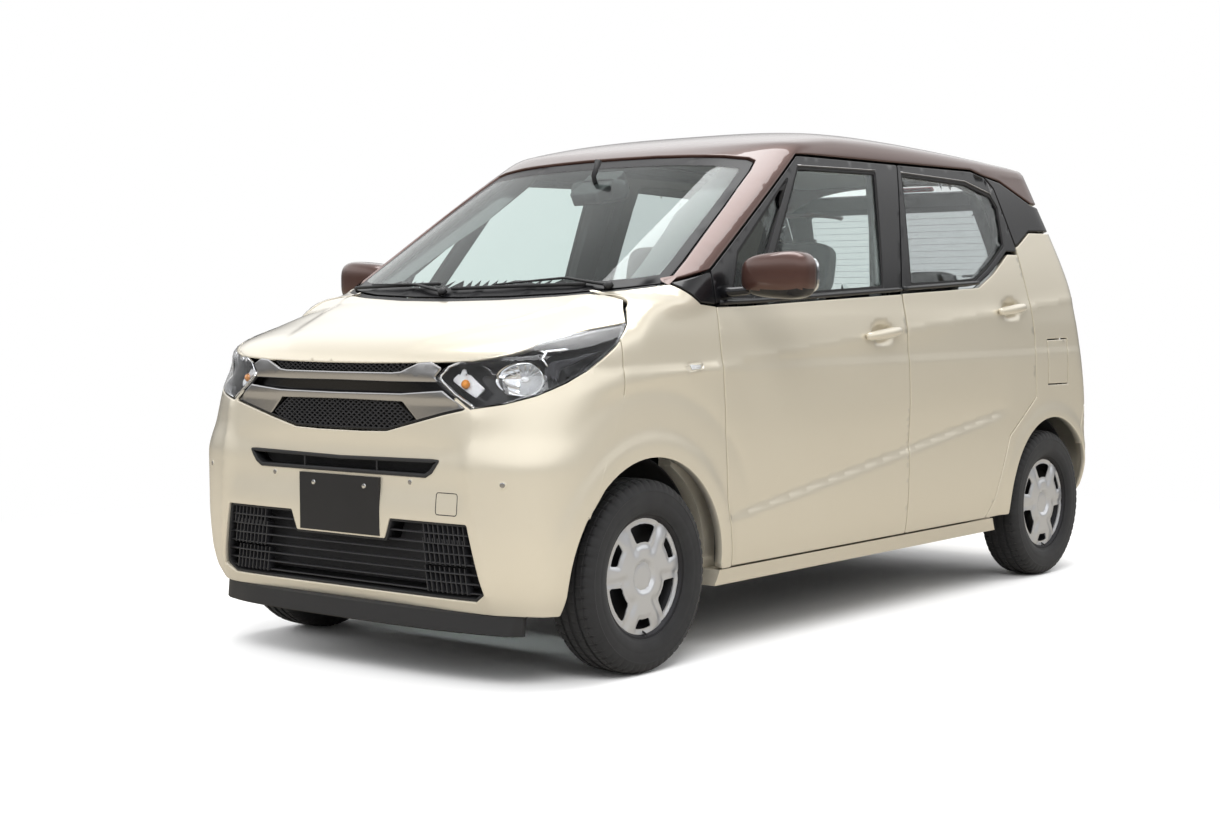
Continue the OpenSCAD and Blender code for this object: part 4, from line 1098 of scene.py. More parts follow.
def build_front():
    """Front bumper with its intakes, fins, sensors, tow cover, chin lip and blank plate."""
    lamp = np.array(LAMP_LOW[::-1], float)
    side_line = ([(-1520, 205)] + circle_arc(FRONT_AXLE, FRONT_ARCH, 183, 147, 14) + [(-1306, 640),
        (-1303, 800), (-1300, 952)])
    left = np.concatenate([run("side", side_line, 30), lamp[1:-1], lift("front", [(478, 767), (400,
        751), (302, 727), (188, 700), (90, 697), (0, 697)])])
    low = run("front", [(0, 207), (300, 207), (560, 206)], 60)
    half = np.concatenate([low[1:], left])
    uv = flatten("nose", half)
    outline = spread_out(np.concatenate([uv, (uv * (-1, 1))[::-1][1:]]), 2)
    low_hole, up_hole = [mirror_loop(flatten("nose", run("front", rows, 30))) for rows in ([(0,
        398), (182, 398), (204, 456), (492, 456), (536, 268), (500, 243), (0, 243)], [(0, 580),
        (340, 580), (362, 592), (390, 626), (0, 620)])]
    creases = []
    for s in (1, -1):
        pts = lift("front", [(s * (505 + 0.10 * max(0, 600 - z)), z) for z in range(250, 765, 24)])
        creases.append(flatten("nose", pts))
    ring = flatten("nose", lift("side", circle_arc(FRONT_AXLE, FRONT_ARCH + 84, 180, 150, 12)))
    creases += [ring, ring * (-1, 1)]
    bumper = make("front_bumper_skin", *plate("nose", outline, thick=16, gap=1.2, holes=[low_hole,
        up_hole], lines=creases, step=17), "body_paint")
    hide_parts("front_bumper")
    for name, hole, depth in (("lower_intake_back", low_hole, 60), ("upper_intake_back", up_hole,
            46)):
        make(name, *plate("nose", hole, thick=6, depth=depth, gap=-12, step=60, pressed=False),
            "underseal", slot="black_plastic")
        make(name.replace("back", "frame"), *plate("nose", hole, thick=depth - 3, depth=4, gap=-4,
            edge=2, step=60, pressed=False, holes=[shrink(hole, 7)]), "grained_black")
    slats = []
    for z in range(262, 450, 27):
        half = np.interp(z, [243, 268, 456], [505, 528, 486])
        lows = 190 if z > 392 else 0
        for s in ((1, -1) if lows else (0,)):
            xs = np.linspace(lows, half, 12) * s if s else np.linspace(-half, half, 30)
            line = trace("front", [(x, z) for x in xs], 14)
            slats.append((*tube(line, 7.5, 8, 0.38), 0))
    v, f, s = merge(slats)
    fins = make("lower_grille_slats", v, f, "mesh_black", slots=s)
    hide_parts("lower_grille")
    pts, turns = [], []
    for s in (1, -1):
        for k in range(9):
            for z in (300, 380, 440):
                pts.append(trace("front", [(s * (330 + 18 * k), z - 6)], 20)[0])
                turns.append((0, math.radians(-9 * s), 0))
    scatter("intake_fins", pts, turns, brick((-2, -12, -36), (2, 12, 36), 0.6, (2, 2, 4)),
        "mesh_black")
    for side, s in SIDES.items():
        line = trace("front", [(s * 150, z) for z in range(578, 626, 6)], 8)
        make(f"upper_rib_{side}", *tube(line, 3.0, 8), "grained_black")
    for number, (x, z) in enumerate(((281, 561), (-281, 561), (601, 568), (-601, 568))):
        c = flatten("nose", lift("front", [(x, z)]))[0]
        for tag, r, d, m in (("ring", 11.5, -1.2, "body_paint"), ("eye", 7.5, -2.0, "satin")):
            ring = [(c[0] + r * math.cos(t), c[1] + r * math.sin(t)) for t in np.linspace(0, 2 *
                math.pi, 28)[:-1]]
            make(f"sensor_{tag}_{number}", *plate("nose", ring, thick=6, depth=d, gap=0, edge=1.2,
                step=6, corner=1), m, slot="body_paint")
    c = flatten("nose", lift("front", [(420, 508)]))[0]
    cover = [(c[0] - 38, c[1] - 30), (c[0] + 38, c[1] - 30), (c[0] + 38, c[1] + 30), (c[0] - 38,
        c[1] + 30)]
    loop = on_body("nose", resample(rounded(cover, 9), 5), 0.5)[0]
    make("tow_cover", *tube(np.concatenate([loop, loop[:2]]), 1.5, 6), "seal_rubber")
    xs = [0, 150, 300, 450, 540, 590, 612]
    ys = [-1671, -1669, -1664, -1650, -1630, -1612, -1592]
    profile = [(-x, y) for x, y in zip(xs[::-1], ys[::-1])] + list(zip(xs, ys))[1:]
    fine_x = np.linspace(-612, 612, 80)
    fine_y = smooth_curve(profile)(fine_x)
    verts, faces = [], []
    section = [(0, 152), (-3, 156), (2, 206), (10, 212), (34, 212), (34, 206), (14, 200), (9, 152)]
    for x, y in zip(fine_x, fine_y):
        verts += [(x, y + a, z) for a, z in section]
    m = len(section)
    for i in range(len(fine_x) - 1):
        for k in range(m):
            j = (k + 1) % m
            faces.append((i * m + k, i * m + j, (i + 1) * m + j, (i + 1) * m + k))
    faces += [tuple(range(m))[::-1], tuple(range((len(fine_x) - 1) * m, len(fine_x) * m))]
    lip = make("chin_lip", verts, faces, "grained_black")
    sharpen(lip, 35)
    fix_normals(lip)
    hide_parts("chin_spoiler")
    number_plate("front_number_plate", (0, -1697.0, 486), 1, ROOT, "front_plate")


def fix_normals(obj):
    bm = bmesh.new()
    bm.from_mesh(obj.data)
    bmesh.ops.recalc_face_normals(bm, faces=bm.faces)
    bm.to_mesh(obj.data)
    bm.free()
    return obj


def number_plate(name, place, way, body, node):
    """A blank pressed plate on its carrier, with two bolts."""
    parts = [(*brick((-165, 0, -82.5), (165, 20, 82.5), 0, (6, 1, 4)), 0)]
    for sx in (-105, 105):
        v, f = lathe([(0, 0), (0, 7.5), (-2.2, 6.5), (-3.2, 0)], 20)
        v = np.stack([v[:, 1], v[:, 0], v[:, 2]], 1) + (sx, 0, 55)
        parts.append((*flipped((v * (1, 0.9, 1), f)), 1))
    v, f, s = merge(parts)
    v = v * (1, way, 1) + place
    v[:, 1] += 3.0 * way
    obj = make(name, v, f, ("plate_black", "chrome"), body, slots=s)
    fix_normals(obj)
    sharpen(obj, 30)
    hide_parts(node)
    return obj


def front_loop(rows, step=30):
    """A nose-view outline from a left half given in the front view, mirrored to the right."""
    return flatten_pair(flatten("nose", run("front", rows, step)))


def diamond(size, bar):
    """A rhombus ring standing in the XZ plane."""
    outer = [(size, 0), (0, size * 0.62), (-size, 0), (0, -size * 0.62)]
    inner = [(x * bar, z * bar) for x, z in outer]
    verts = [(x, y, z) for y in (-3.0, 3.0) for ring in (outer, inner) for x, z in ring]
    faces = []
    for k in range(4):
        j = (k + 1) % 4
        faces += [(k, j, 4 + j, 4 + k), (8 + k, 12 + k, 12 + j, 8 + j), (k, 8 + k, 8 + j, j), (4 +
            k, 4 + j, 12 + j, 12 + k)]
    return np.array(verts), faces


def build_grille():
    """Upper grille: two satin bars that widen to the lamps, with diamond mesh above and below."""
    back = front_loop([(0, 699), (188, 702), (302, 728), (400, 752), (478, 768), (368, 849), (352,
        905), (300, 917), (0, 917)])
    obj = make("grille_back", *plate("nose", back, thick=6, depth=26, gap=0, step=40,
        pressed=False), "gloss_black")
    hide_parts("upper_grille")
    make("grille_frame", *plate("nose", back, thick=24, depth=3, gap=0.5, step=40, pressed=False,
        edge=1.2, margin=0.6, corner=4, holes=[shrink(resample(back, 60), 6.5)]), "gloss_black")
    top_bar = front_loop([(0, 864), (220, 865), (250, 868), (312, 893), (352, 896), (390, 878),
        (369, 852), (380, 838), (200, 836), (0, 837)])
    low_bar = front_loop([(0, 805), (250, 807), (396, 818), (420, 802), (474, 768), (400, 754),
        (304, 730), (250, 781), (0, 783)])
    for name, loop, middle in (("grille_bar_upper", top_bar, 851), ("grille_bar_lower", low_bar,
            796)):
        ridge = flatten("nose", lift("front", [(x, middle) for x in np.linspace(-360, 360, 40)]))
        make(name, *plate("nose", loop, thick=16, depth=-1.2, gap=0.6, edge=3.2, step=11,
            pressed=False, corner=7, lines=[ridge], margin=2.0, shape=lambda p, m=middle: 5.0 *
            step_up((m - p[:, 2] - 2) / 16)), "satin")
    spots, turns = [], []
    for low, high, edge in ((704, 778, ((702, 172), (729, 288), (779, 236))), (872, 912, ((866,
            255), (906, 292)))):
        for row, z in enumerate(np.arange(low, high, 7.2)):
            limit = np.interp(z, *zip(*edge))
            for x in np.arange(-330, 331, 22) + (11 if row % 2 else 0):
                if abs(x) <= limit:
                    p, n = on_body("front", [(x, z)], 9, False)
                    spots.append(p[0])
                    turns.append((0, 0, math.atan2(n[0][0], -n[0][1])))
    scatter("grille_mesh", spots, turns, diamond(12.4, 0.66), "mesh_black")


def bowl(centre, direction, rings, steps=40):
    """A turned reflector facing a direction; rings are (depth, radius)."""
    v, f = lathe(rings, steps)
    axis = Vector(direction).normalized()
    turn = np.array(axis.to_track_quat("X", "Z").to_matrix())
    return v @ turn.T + np.asarray(centre, float), f


def build_lamps():
    """Headlamps with bowls, reflectors and clear lenses, and the layered tail lamps."""
    uv = spread_out(flatten("nose", resample(LAMP_LOW + LAMP_TOP[1:], 30)), 2)
    made = both_sides("headlamp_lens", plate("nose", uv, thick=2.6, depth=-0.4, gap=2.0, edge=1.2,
        step=18, pressed=False, corner=6), "lamp_glass")
    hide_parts("headlamps")
    both_sides("headlamp_housing", plate("nose", uv, thick=5, depth=62, gap=0, step=30,
        pressed=False), "gloss_black")
    both_sides("headlamp_wall", plate("nose", uv, thick=58, depth=5, gap=2.0, edge=0.8, margin=0.5,
        step=30, pressed=False, holes=[shrink(shrink(uv, 2), 5)], corner=4), "gloss_black")
    centre = trace("nose", flatten("nose", [(600, -1585, 868)]), 34)[0]
    aim = (0.62, -0.78, 0.0)
    parts = [(*bowl(centre, aim, [(24, 46), (22, 43), (8, 38), (-10, 26), (-16, 12), (-16, 0)]),
        0), (*flipped(bowl(centre, aim, [(24, 46), (24, 48), (14, 48), (-18, 30), (-22, 0)])), 1),
        (*flipped(bowl(centre, aim, [(-16, 8), (6, 8), (12, 6), (14, 0)], 20)), 2)]
    for k in range(7):
        turn = math.radians(-60 + 20 * k)
        a, b = centre + np.array(aim) * 4, centre + np.array(aim) * 14
        u = np.array([0.78 * math.sin(turn), 0.62 * math.sin(turn), math.cos(turn)])
        parts.append((*tube([a + u * 14, a + u * 30, b + u * 38], 1.4, 6), 0))
    v, f, s = merge(parts)
    along = np.array([0.78, 0.62, 0.0])
    reach = (v - centre) @ along
    v = v + np.outer(np.where(reach < 0, 0.75, 0.1) * reach, along) + along * 14
    both_sides("headlamp_reflector", (v, f, s), ("chrome", "gloss_black", "white_lens"))
    inner = [(405, -1650, 848), (482, -1622, 800), (505, -1612, 830), (440, -1640, 876)]
    both_sides("headlamp_turn_lens", plate("nose", flatten("nose", inner), thick=9, depth=26,
        gap=0, edge=2.5, step=10, pressed=False, corner=8), "white_lens")
    spot = trace("nose", flatten("nose", [(452, -1632, 838)]), 20)[0]
    v, f = bowl(spot, (0.3, -0.95, 0), [(0, 13), (6, 11), (10, 6), (11, 0)], 24)
    both_sides("headlamp_turn_bulb", flipped((v, f)), "amber")
    outer = [(640, -1545, 846), (694, -1440, 890), (690, -1330, 946), (655, -1400, 944), (640,
        -1500, 905)]
    both_sides("headlamp_side_reflector", plate("nose", flatten("nose", outer), thick=8, depth=40,
        gap=0, edge=2.5, step=12, pressed=False, corner=8), "steel_dark")
    for name, pts, depth, radius, what in (("headlamp_low_bright", LAMP_LOW[:3], 6, 5.2,
            "chrome"), ("headlamp_brow", LAMP_TOP[1:] + LAMP_LOW[:1], 6, 4.2, "chrome"),
            ("headlamp_hook", [(655, -1528, 880), (640, -1536, 906), (648, -1524, 930), (672,
            -1462, 936)], 12, 4.4, "chrome"), ("headlamp_hook_end", [(640, -1536, 932), (648,
            -1524, 926), (640, -1536, 906)], 12, 4.0, "chrome"), ("headlamp_guide", [(566, -1590,
            812), (560, -1594, 836), (534, -1603, 862), (500, -1614, 884)], 16, 6.5,
            "gloss_black"), ("headlamp_guide_low", [(534, -1603, 862), (590, -1580, 912), (650,
            -1520, 925)], 16, 5.5, "gloss_black")):
        flat = flatten("nose", resample(pts, 12, closed=False))
        if "bright" in name or "brow" in name:
            middle = uv.mean(0)
            flat = flat + (middle - flat) * 0.045
        path = trace("nose", flat, depth)
        both_sides(name, tube(path, radius, 10, 0.8), what, slot="satin_silver")
    side3d = run("side", [(1497, 1316), (1530, 1180), (1545, 1120), (1558, 1041), (1640, 893)], 30)
    rear3d = run("rear", [(612, 893), (592, 1050), (570, 1316)], 30)
    tail_uv = flatten("tail", np.concatenate([side3d, rear3d]))
    v, f = plate("tail", tail_uv, thick=10, depth=-3, gap=2, edge=3, step=16, pressed=False,
        corner=8)
    levels = [np.mean([v[i][2] for i in face]) for face in f]
    slots = [0 if z > 1236 else 1 if z > 1010 else 2 for z in levels]
    made = both_sides("tail_lamp", (v, f, slots), ("smoke_lens", "red_lens", "white_lens"))
    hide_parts("tail_lamps")
    low, high = flatten("tail", lift("rear", [(628, 1020)])), flatten("tail", lift("rear", [(612,
        1225)]))
    guide = [low[0] + (high[0] - low[0]) * t for t in np.linspace(0, 1, 20)]
    for n, shift in enumerate((0.0, 26.0)):
        line = trace("tail", [(p[0] - shift, p[1]) for p in guide], -5)
        both_sides(f"tail_lamp_guide_{n}", tube(line, 4.2, 8), "red_lens")


def build_rear():
    """Tailgate with spoiler, handle, lamp and wiper, and the rear bumper."""
    half = [(0, 648), (598, 648), (604, 780), (606, 900), (596, 1020), (589, 1062), (0, 1058)]
    uv = flatten("rear", run("rear", half, 50))
    loop = mirror_loop(uv)
    fold = [(x, 1000) for x in np.linspace(-560, 560, 40)]
    hump = [(x, 905) for x in np.linspace(-230, 230, 20)]

    def dent(p):
        x, z = np.abs(p[:, 0]), p[:, 2]
        recess = step_up((250 - x) / 30) * step_up((z - 735) / 24) * step_up((905 - z) / 20)
        return 9 * recess - 5 * np.exp(-((z - 1000) / 26) ** 2)

    skin = make("tailgate_skin", *plate("rear", loop, thick=20, gap=2.5, step=18, lines=[fold,
        hump], shape=dent), "body_paint", "tailgate")
    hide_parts("tailgate")
    frame_half = [(0, 1058), (588, 1062), (578, 1180), (566, 1318), (555, 1440), (553, 1496), (0,
        1500)]
    loop = mirror_loop(frame_half)
    hole = mirror_loop([(0, 1078), (530, 1078), (506, 1300), (468, 1448), (0, 1450)])
    make("tailgate_window_frame", *plate("rear", loop, thick=22, depth=1.5, gap=2.0, step=26,
        pressed=False, holes=[hole], corner=10), "gloss_black", "tailgate")
    make("tailgate_spoiler", *plate("top", [(-551, 1329), (551, 1329), (548, 1420), (-548, 1420)],
        thick=34, gap=0.5, edge=9, step=20, pressed=False, corner=16), "roof_paint", "tailgate")
    make("high_brake_lamp", *plate("rear", [(-150, 1502), (150, 1502), (146, 1518), (-146, 1518)],
        thick=10, depth=0, gap=0, edge=2, step=16, pressed=False, corner=4), "red_lens",
        "tailgate")
    make("tailgate_garnish", *plate("rear", [(-215, 905), (215, 905), (205, 934), (-205, 934)],
        thick=30, depth=-9, gap=0, edge=5, step=16, corner=8), "body_paint", "tailgate")
    arm = trace("rear", [(x, z) for x, z in resample([(20, 1092), (90, 1128), (330, 1152)], 20,
        closed=False)], -12)
    make("rear_wiper_arm", *tube(arm, np.linspace(9, 4, len(arm)), 10, 0.7), "grained_black",
        "tailgate")
    blade = trace("rear", [(x, 1150 + 0.03 * x) for x in np.linspace(170, 440, 24)], -4)
    make("rear_wiper_blade", *tube(blade, 4, 8, 1.4), "seal_rubber", "tailgate")
    place = trace("rear", [(20, 1088)], 0)[0]
    v, f = bowl(place, (0, 1, 0.2), [(0, 19), (12, 17), (16, 12), (17, 0)], 32)
    make("rear_wiper_cap", v, [tuple(reversed(q)) for q in f], "grained_black", "tailgate")
    number_plate("rear_number_plate", (0, 1688, 820), -1, "tailgate", "rear_plate")
    arc = circle_arc(REAR_AXLE, REAR_ARCH, -12.9, 40, 16)
    left = run("side", arc + [(1560, 560), (1600, 638)], 30)
    top = run("rear", [(640, 641), (608, 642), (0, 642)], 50)
    low = run("rear", [(0, 206), (500, 206), (600, 206)], 60)
    loop = flatten_pair(spread_out(flatten("tail", np.concatenate([low, left, top])), 2))
    crease = flatten("tail", lift("rear", [(x, 470) for x in np.linspace(-560, 560, 50)]))
    ring = flatten("tail", lift("side", circle_arc(REAR_AXLE, REAR_ARCH + 66, -10, 30, 14)))

    def tuck(p):
        x, z = np.abs(p[:, 0]), p[:, 2]
        well = step_up((330 - x) / 60) * step_up((470 - z) / 60) * step_up((z - 250) / 40)
        return 10 * well

    skin = make("rear_bumper_skin", *plate("tail", loop, thick=16, gap=1.6, step=18, lines=[crease,
        ring, ring * (-1, 1)], shape=tuck), "body_paint")
    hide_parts("rear_bumper")
    for side in (1, -1):
        spot = flatten("tail", lift("rear", [(side * 560, 330)]))[0]
        shape = [(spot[0] - 44, 316), (spot[0] + 44, 316), (spot[0] + 44, 344), (spot[0] - 44,
            344)]
        make("rear_reflector_" + ("left" if side > 0 else "right"), *plate("tail", shape, thick=8,
            depth=-2.5, gap=0, edge=2, step=12, corner=8), "red_lens")


def flatten_pair(half_uv):
    """A left half outline joined to its mirror image."""
    return spread_out(np.concatenate([half_uv, (half_uv * (-1, 1))[::-1]]), 1.0)


def build_cowl():
    """Black cowl, the two front wipers and the screen washers."""
    bottom = run("front", [(0, 1074), (200, 1076), (400, 1084), (560, 1098), (640, 1110)], 40)
    front = run("top", [(640, -1120), (560, -1145), (400, -1193), (200, -1230), (0, -1242)], 40)
    loop = flatten_pair(flatten("top", np.concatenate([bottom, front])))
    obj = make("cowl_skin", *plate("top", loop, thick=14, depth=5, gap=0.5, step=20, pressed=False,
        corner=4), "grained_black")
    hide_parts("cowl_panel")
    parts = []
    for x0, x1, z0, z1 in ((520, 110, 1100, 1098), (-80, -460, 1086, 1104)):
        xs = np.linspace(x0, x1, 22)
        arm = trace("front", [(x, np.interp(t, [0, 0.4, 1], [z0, z0 + 22, z1 + 6])) for x, t in
            zip(xs, np.linspace(0, 1, 22))], -7)
        parts.append((*tube(arm, np.linspace(7.5, 3.8, 22), 10, 0.7), 0))
        mid = (x0 * 0.2 + x1 * 0.8)
        blade = trace("front", [(x, z1 + 2 + 0.02 * (x - x1)) for x in np.linspace(mid - 250, mid +
            250, 34) if abs(x) < 585], -3.2)
        parts.append((*tube(blade, 3.6, 8, 1.5), 0))
        base = arm[0]
        parts.append((*bowl_pair(base, (0, -0.55, 0.83)), 0))
    v, f, s = merge(parts)
    obj = make("wiper_set", v, f, "grained_black", slots=s)
    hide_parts("front_wipers")


def bowl_pair(place, aim):
    return flipped(bowl(place, aim, [(-8, 0), (-8, 15), (4, 14), (8, 9), (9, 0)], 24))


# ---------------------------------------------------------------- wheels

def disc(outline, holes, height, thick, step=9.0):
    """A closed turned plate in the YZ plane whose outer face stands at height(points)."""
    rim = resample(np.asarray(outline, float), step)
    cuts = [resample(rounded(h, 12), step * 0.6) for h in holes]
    flat, tri = fill(rim, cuts, (), step)
    n = len(flat)
    top = height(flat)
    front = np.column_stack([top, flat])
    back = np.column_stack([top - thick, flat])
    faces = [tuple(t) for t in tri] + [tuple(t[::-1] + n) for t in tri]
    for number, loop in enumerate([rim] + cuts):
        ids = np.argmin(np.linalg.norm(flat[:, None] - loop[None], axis=2), axis=0)
        way = (area_of(loop) > 0) == (number == 0)
        for i in range(len(ids)):
            j = (i + 1) % len(ids)
            a, b = ids[i], ids[j]
            faces.append((a, a + n, b + n, b) if way else (a, b, b + n, a + n))
    return np.concatenate([front, back]), faces


def sector(inner, outer, middle, spread, bulge=0.0):
    """A rounded window between two radii round an angle."""
    a0, a1 = math.radians(middle - spread), math.radians(middle + spread)
    low = [(inner * math.cos(a), inner * math.sin(a)) for a in np.linspace(a1, a0, 4)]
    top = [(outer * math.cos(a), outer * math.sin(a)) for a in np.linspace(a0 - bulge, a1 + bulge,
        6)]
    return low + top


def wheel_cover():
    """A silver cover with six windows, raised spokes, a plain centre and a ribbed rim."""
    ring = [(193 * math.cos(a), 193 * math.sin(a)) for a in np.linspace(0, 2 * math.pi, 121)[:-1]]
    holes = [sector(98, 150, 90 + 120 * k, 17, 0.10) for k in range(3)]
    holes += [sector(122, 150, 30 + 120 * k, 11, 0.05) for k in range(3)]

    def height(p):
        r = np.hypot(p[:, 0], p[:, 1])
        a = np.degrees(np.arctan2(p[:, 1], p[:, 0]))
        wide = (a - 90 + 60) % 120 - 60
        narrow = (a - 30 + 60) % 120 - 60
        base = 8 * step_up((190 - r) / 26) + 7 * step_up((r - 34) / 20) * step_up((178 - r) / 60)
        groove = -6 * np.exp(-((np.abs(wide) - 27) * r / 700) ** 2) * step_up((r - 60) / 30)
        groove = groove * step_up((172 - r) / 20)
        inner = step_up((164 - r) / 10)
        pocket = -5 * step_up((24 - np.abs(wide)) / 5) * step_up((r - 78) / 14) * inner
        pocket = pocket - 4 * step_up((17 - np.abs(narrow)) / 5) * step_up((r - 108) / 12) * inner
        ribs = 0.8 * np.sin(np.radians(a) * 60) * step_up((r - 92) / 20) * step_up((116 - r) / 16)
        centre = -3 * np.exp(-((r - 40) / 4.5) ** 2)
        return 44 + base + groove + pocket + ribs + centre

    return disc(ring, holes, height, 3.0, step=6.0)


def tyre_shape(blocks):
    """A tyre round the X axis with grooves, shoulder blocks and sidewall rings."""
    half = [(0, 272), (7, 272), (8, 277.5), (26, 277.2), (27, 271), (35, 271), (36, 276.6), (52,
        275.3), (53, 273.5), (58, 273), (62, 270.8), (68, 266), (73, 258), (76.6, 246), (77.2,
        244), (76.4, 242), (77.4, 230), (77, 218), (76.6, 216), (77, 214), (75, 202), (72, 192),
        (69.5, 187), (66, 183), (64, 178.5), (56, 177)]
    prof = [(-x, r) for x, r in reversed(half[1:])] + half + [(54, 190), (-54, 190)]
    steps = blocks * 6
    v, f = lathe(prof, steps, closed=True)
    rows = v.reshape(steps, len(prof), 3)
    for i in range(steps):
        for k, (x, r) in enumerate(prof):
            if 60 > abs(x) > 37 and r > 262 and i % 6 == 0:
                rows[i, k, 1:] *= (r - 4.5) / r
            elif 77 > abs(x) >= 60 and r > 250 and (i % 6 in (0, 1)):
                rows[i, k, 1:] *= (r - 3.0) / r
            elif 36 > abs(x) > 7.5 and r > 275 and (i + 3) % 6 == 0:
                rows[i, k, 1:] *= (r - 1.6) / r
    return rows.reshape(-1, 3), [tuple(reversed(q)) for q in f]


def build_wheels():
    """Four wheels: tyre, steel rim, cover, brake disc, caliper and hub."""
    blocks = bpy.context.scene.kei_car_sizes.tread_blocks
    tyre = tyre_shape(blocks)
    cover = wheel_cover()
    rim = lathe([(-60, 176), (-62, 182), (-58, 184), (-52, 176), (-40, 168), (20, 164), (34, 172),
        (52, 176), (58, 184), (62, 182), (60, 172), (44, 158), (30, 150), (10, 146), (6, 60), (14,
        44), (14, 0), (0, 0), (0, 150), (-40, 158)], 72)
    brake = lathe([(-22, 0), (-22, 60), (-34, 66), (-34, 118), (-22, 119), (-22, 66), (-10, 60),
        (-8, 0)], 64)
    for end, y, centre in (("front", FRONT_AXLE, 650.0), ("rear", REAR_AXLE, 645.0)):
        for side, sign in SIDES.items():
            body = f"{end}_{side}_wheel"

            def put(name, part, what, slot, bevel=34):
                v, f = part
                v = np.asarray(v, float) * (sign, 1, 1) + (sign * centre, y, HUB)
                f = f if sign > 0 else [tuple(reversed(q)) for q in f]
                obj = make(f"{end}_{side}_{name}", v, f, what, body, slot)
                fix_normals(obj)
                sharpen(obj, bevel)
                return obj

            obj = put("tyre_tread", tyre, "tyre_rubber", "tyre_rubber", 26)
            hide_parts(f"{end}_{side}_tyre")
            obj = put("wheel_rim", rim, "steel_dark", "wheel_silver")
            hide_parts(f"{end}_{side}_wheel")
            put("wheel_cover", cover, "wheel_silver", "wheel_silver", 24)
            put("brake_disc", brake, "disc_steel", "chassis_metal")
            v, f = tube([(40, 0, -150), (50, 0, -158), (66, 0, -166)], 3.2, 8)
            put("tyre_valve", (v, f), "seal_rubber", "tyre_rubber")


# ---------------------------------------------------------------- mirrors

def puffed(half, power=3.2, cuts=(20, 14, 14)):
    """A rounded box as a super-ellipsoid centred on the origin."""
    v, f = brick((-1, -1, -1), (1, 1, 1), 0, cuts)
    size = np.sum(np.abs(v) ** power, axis=1) ** (1 / power)
    return v / size[:, None] * np.asarray(half, float), f


def build_mirrors():
    """Door mirrors: brown caps, black bases with glass, and stalks."""
    v, f = puffed((116, 62, 68), 3.4, (28, 18, 18))
    taper = 1 - 0.22 * np.clip(-v[:, 0] / 116, -1, 1) * 0.6
    v[:, 2] *= taper
    v[:, 1] *= 1 - 0.12 * np.clip(v[:, 0] / 116, 0, 1)
    slots = [1 if min(v[i][2] for i in q) < -46 or min(v[i][1] for i in q) > 34 else 0 for q in f]
    v = v + (866, -738, 1132)
    both_sides("mirror_cap", (v, f, slots), ("roof_paint", "gloss_black"), FRONT_DOORS)
    g, gf = puffed((98, 3, 54), 5, (14, 3, 10))
    g = g + (868, -677, 1132)
    both_sides("mirror_pane", (g, gf), "mirror_glass", FRONT_DOORS)
    made = both_sides("mirror_stalk", tube([(708, -800, 1086), (735, -790, 1084), (768, -765,
        1088), (800, -748, 1098)], [30, 25, 22, 24], 20, 0.62), "gloss_black", FRONT_DOORS)
    for side, obj in zip(("left", "right"), made):
        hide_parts(f"door_mirror_{side}")


# ---------------------------------------------------------------- cabin

def stuffed(name, centre, half, lean, materials, channels=(), power=4.2, cuts=(34, 30, 12)):
    """A stitched foam cushion leaning back by an angle about X."""
    v, f = puffed(half, power, cuts)
    top = v[:, 2] > 0.35 * half[2]
    for axis, at, width, depth in channels:
        line = np.abs(np.abs(v[:, axis]) - at)
        v[:, 2] -= np.where(top, depth * np.exp(-(line / width) ** 2), 0)
    dome = 1 - (v[:, 0] / half[0]) ** 2
    v[:, 2] += np.where(top, 6 * dome, 0)
    slots = [1 if abs(np.mean([v[i][0] for i in q])) > half[0] * 0.56 and half[0] > 150 or
        np.mean([v[i][2] for i in q]) < 0 else 0 for q in f]
    turn = math.radians(lean)
    y, z = v[:, 1].copy(), v[:, 2].copy()
    v[:, 1] = y * math.cos(turn) - z * math.sin(turn)
    v[:, 2] = y * math.sin(turn) + z * math.cos(turn)
    obj = make(name, v + centre, f, materials, slot="seat_fabric", slots=slots)
    return obj


def build_seats():
    """Front seats and rear bench with stitched cushions, headrests and frames."""
    cloth = ("seat_cloth", "seat_side")
    channels = ((0, 122, 6, 9), (1, 0, 5, 5))
    first = None
    for side, sign in SIDES.items():
        x = 325 * sign
        seat = stuffed(f"front_seat_{side}_cushion", (x, -105, 436), (222, 240, 68), 5, cloth,
            channels)
        first = first or seat
        stuffed(f"front_seat_{side}_back", (x, 150, 762), (218, 305, 62), 76, cloth, channels)
        stuffed(f"front_seat_{side}_headrest", (x, 205, 1166), (122, 92, 44), 78, cloth, cuts=(18,
            16, 8))
        posts = []
        for dx in (-55, 55):
            posts.append((*tube([(x + dx, 205, 1000), (x + dx, 216, 1100)], 6.5, 12), 0))
        v, f, s = merge(posts)
        make(f"front_seat_{side}_posts", v, f, "chrome", slots=s)
        v, f = puffed((205, 215, 46), 8, (10, 10, 4))
        make(f"front_seat_{side}_base", v + (x, -100, 338), f, "grained_black",
            slot="cabin_plastic")
    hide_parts("front_seats")
    bench = stuffed("rear_bench_cushion", (0, 800, 424), (508, 225, 66), 4, cloth, ((0, 255, 6, 9),
        (0, 2, 5, 7)), 6.0, (60, 26, 10))
    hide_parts("rear_seat")
    for side, sign in SIDES.items():
        stuffed(f"rear_bench_back_{side}", (256 * sign, 1052, 730), (250, 290, 56), 76, cloth, ((0,
            140, 6, 8), (1, 40, 5, 5)))
        stuffed(f"rear_bench_headrest_{side}", (300 * sign, 1136, 1098), (118, 68, 38), 78, cloth,
            cuts=(18, 14, 8))
        posts = [(*tube([(300 * sign + dx, 1122, 980), (300 * sign + dx, 1136, 1050)], 6, 12), 0)
            for dx in (-50, 50)]
        v, f, s = merge(posts)
        make(f"rear_bench_posts_{side}", v, f, "chrome", slots=s)


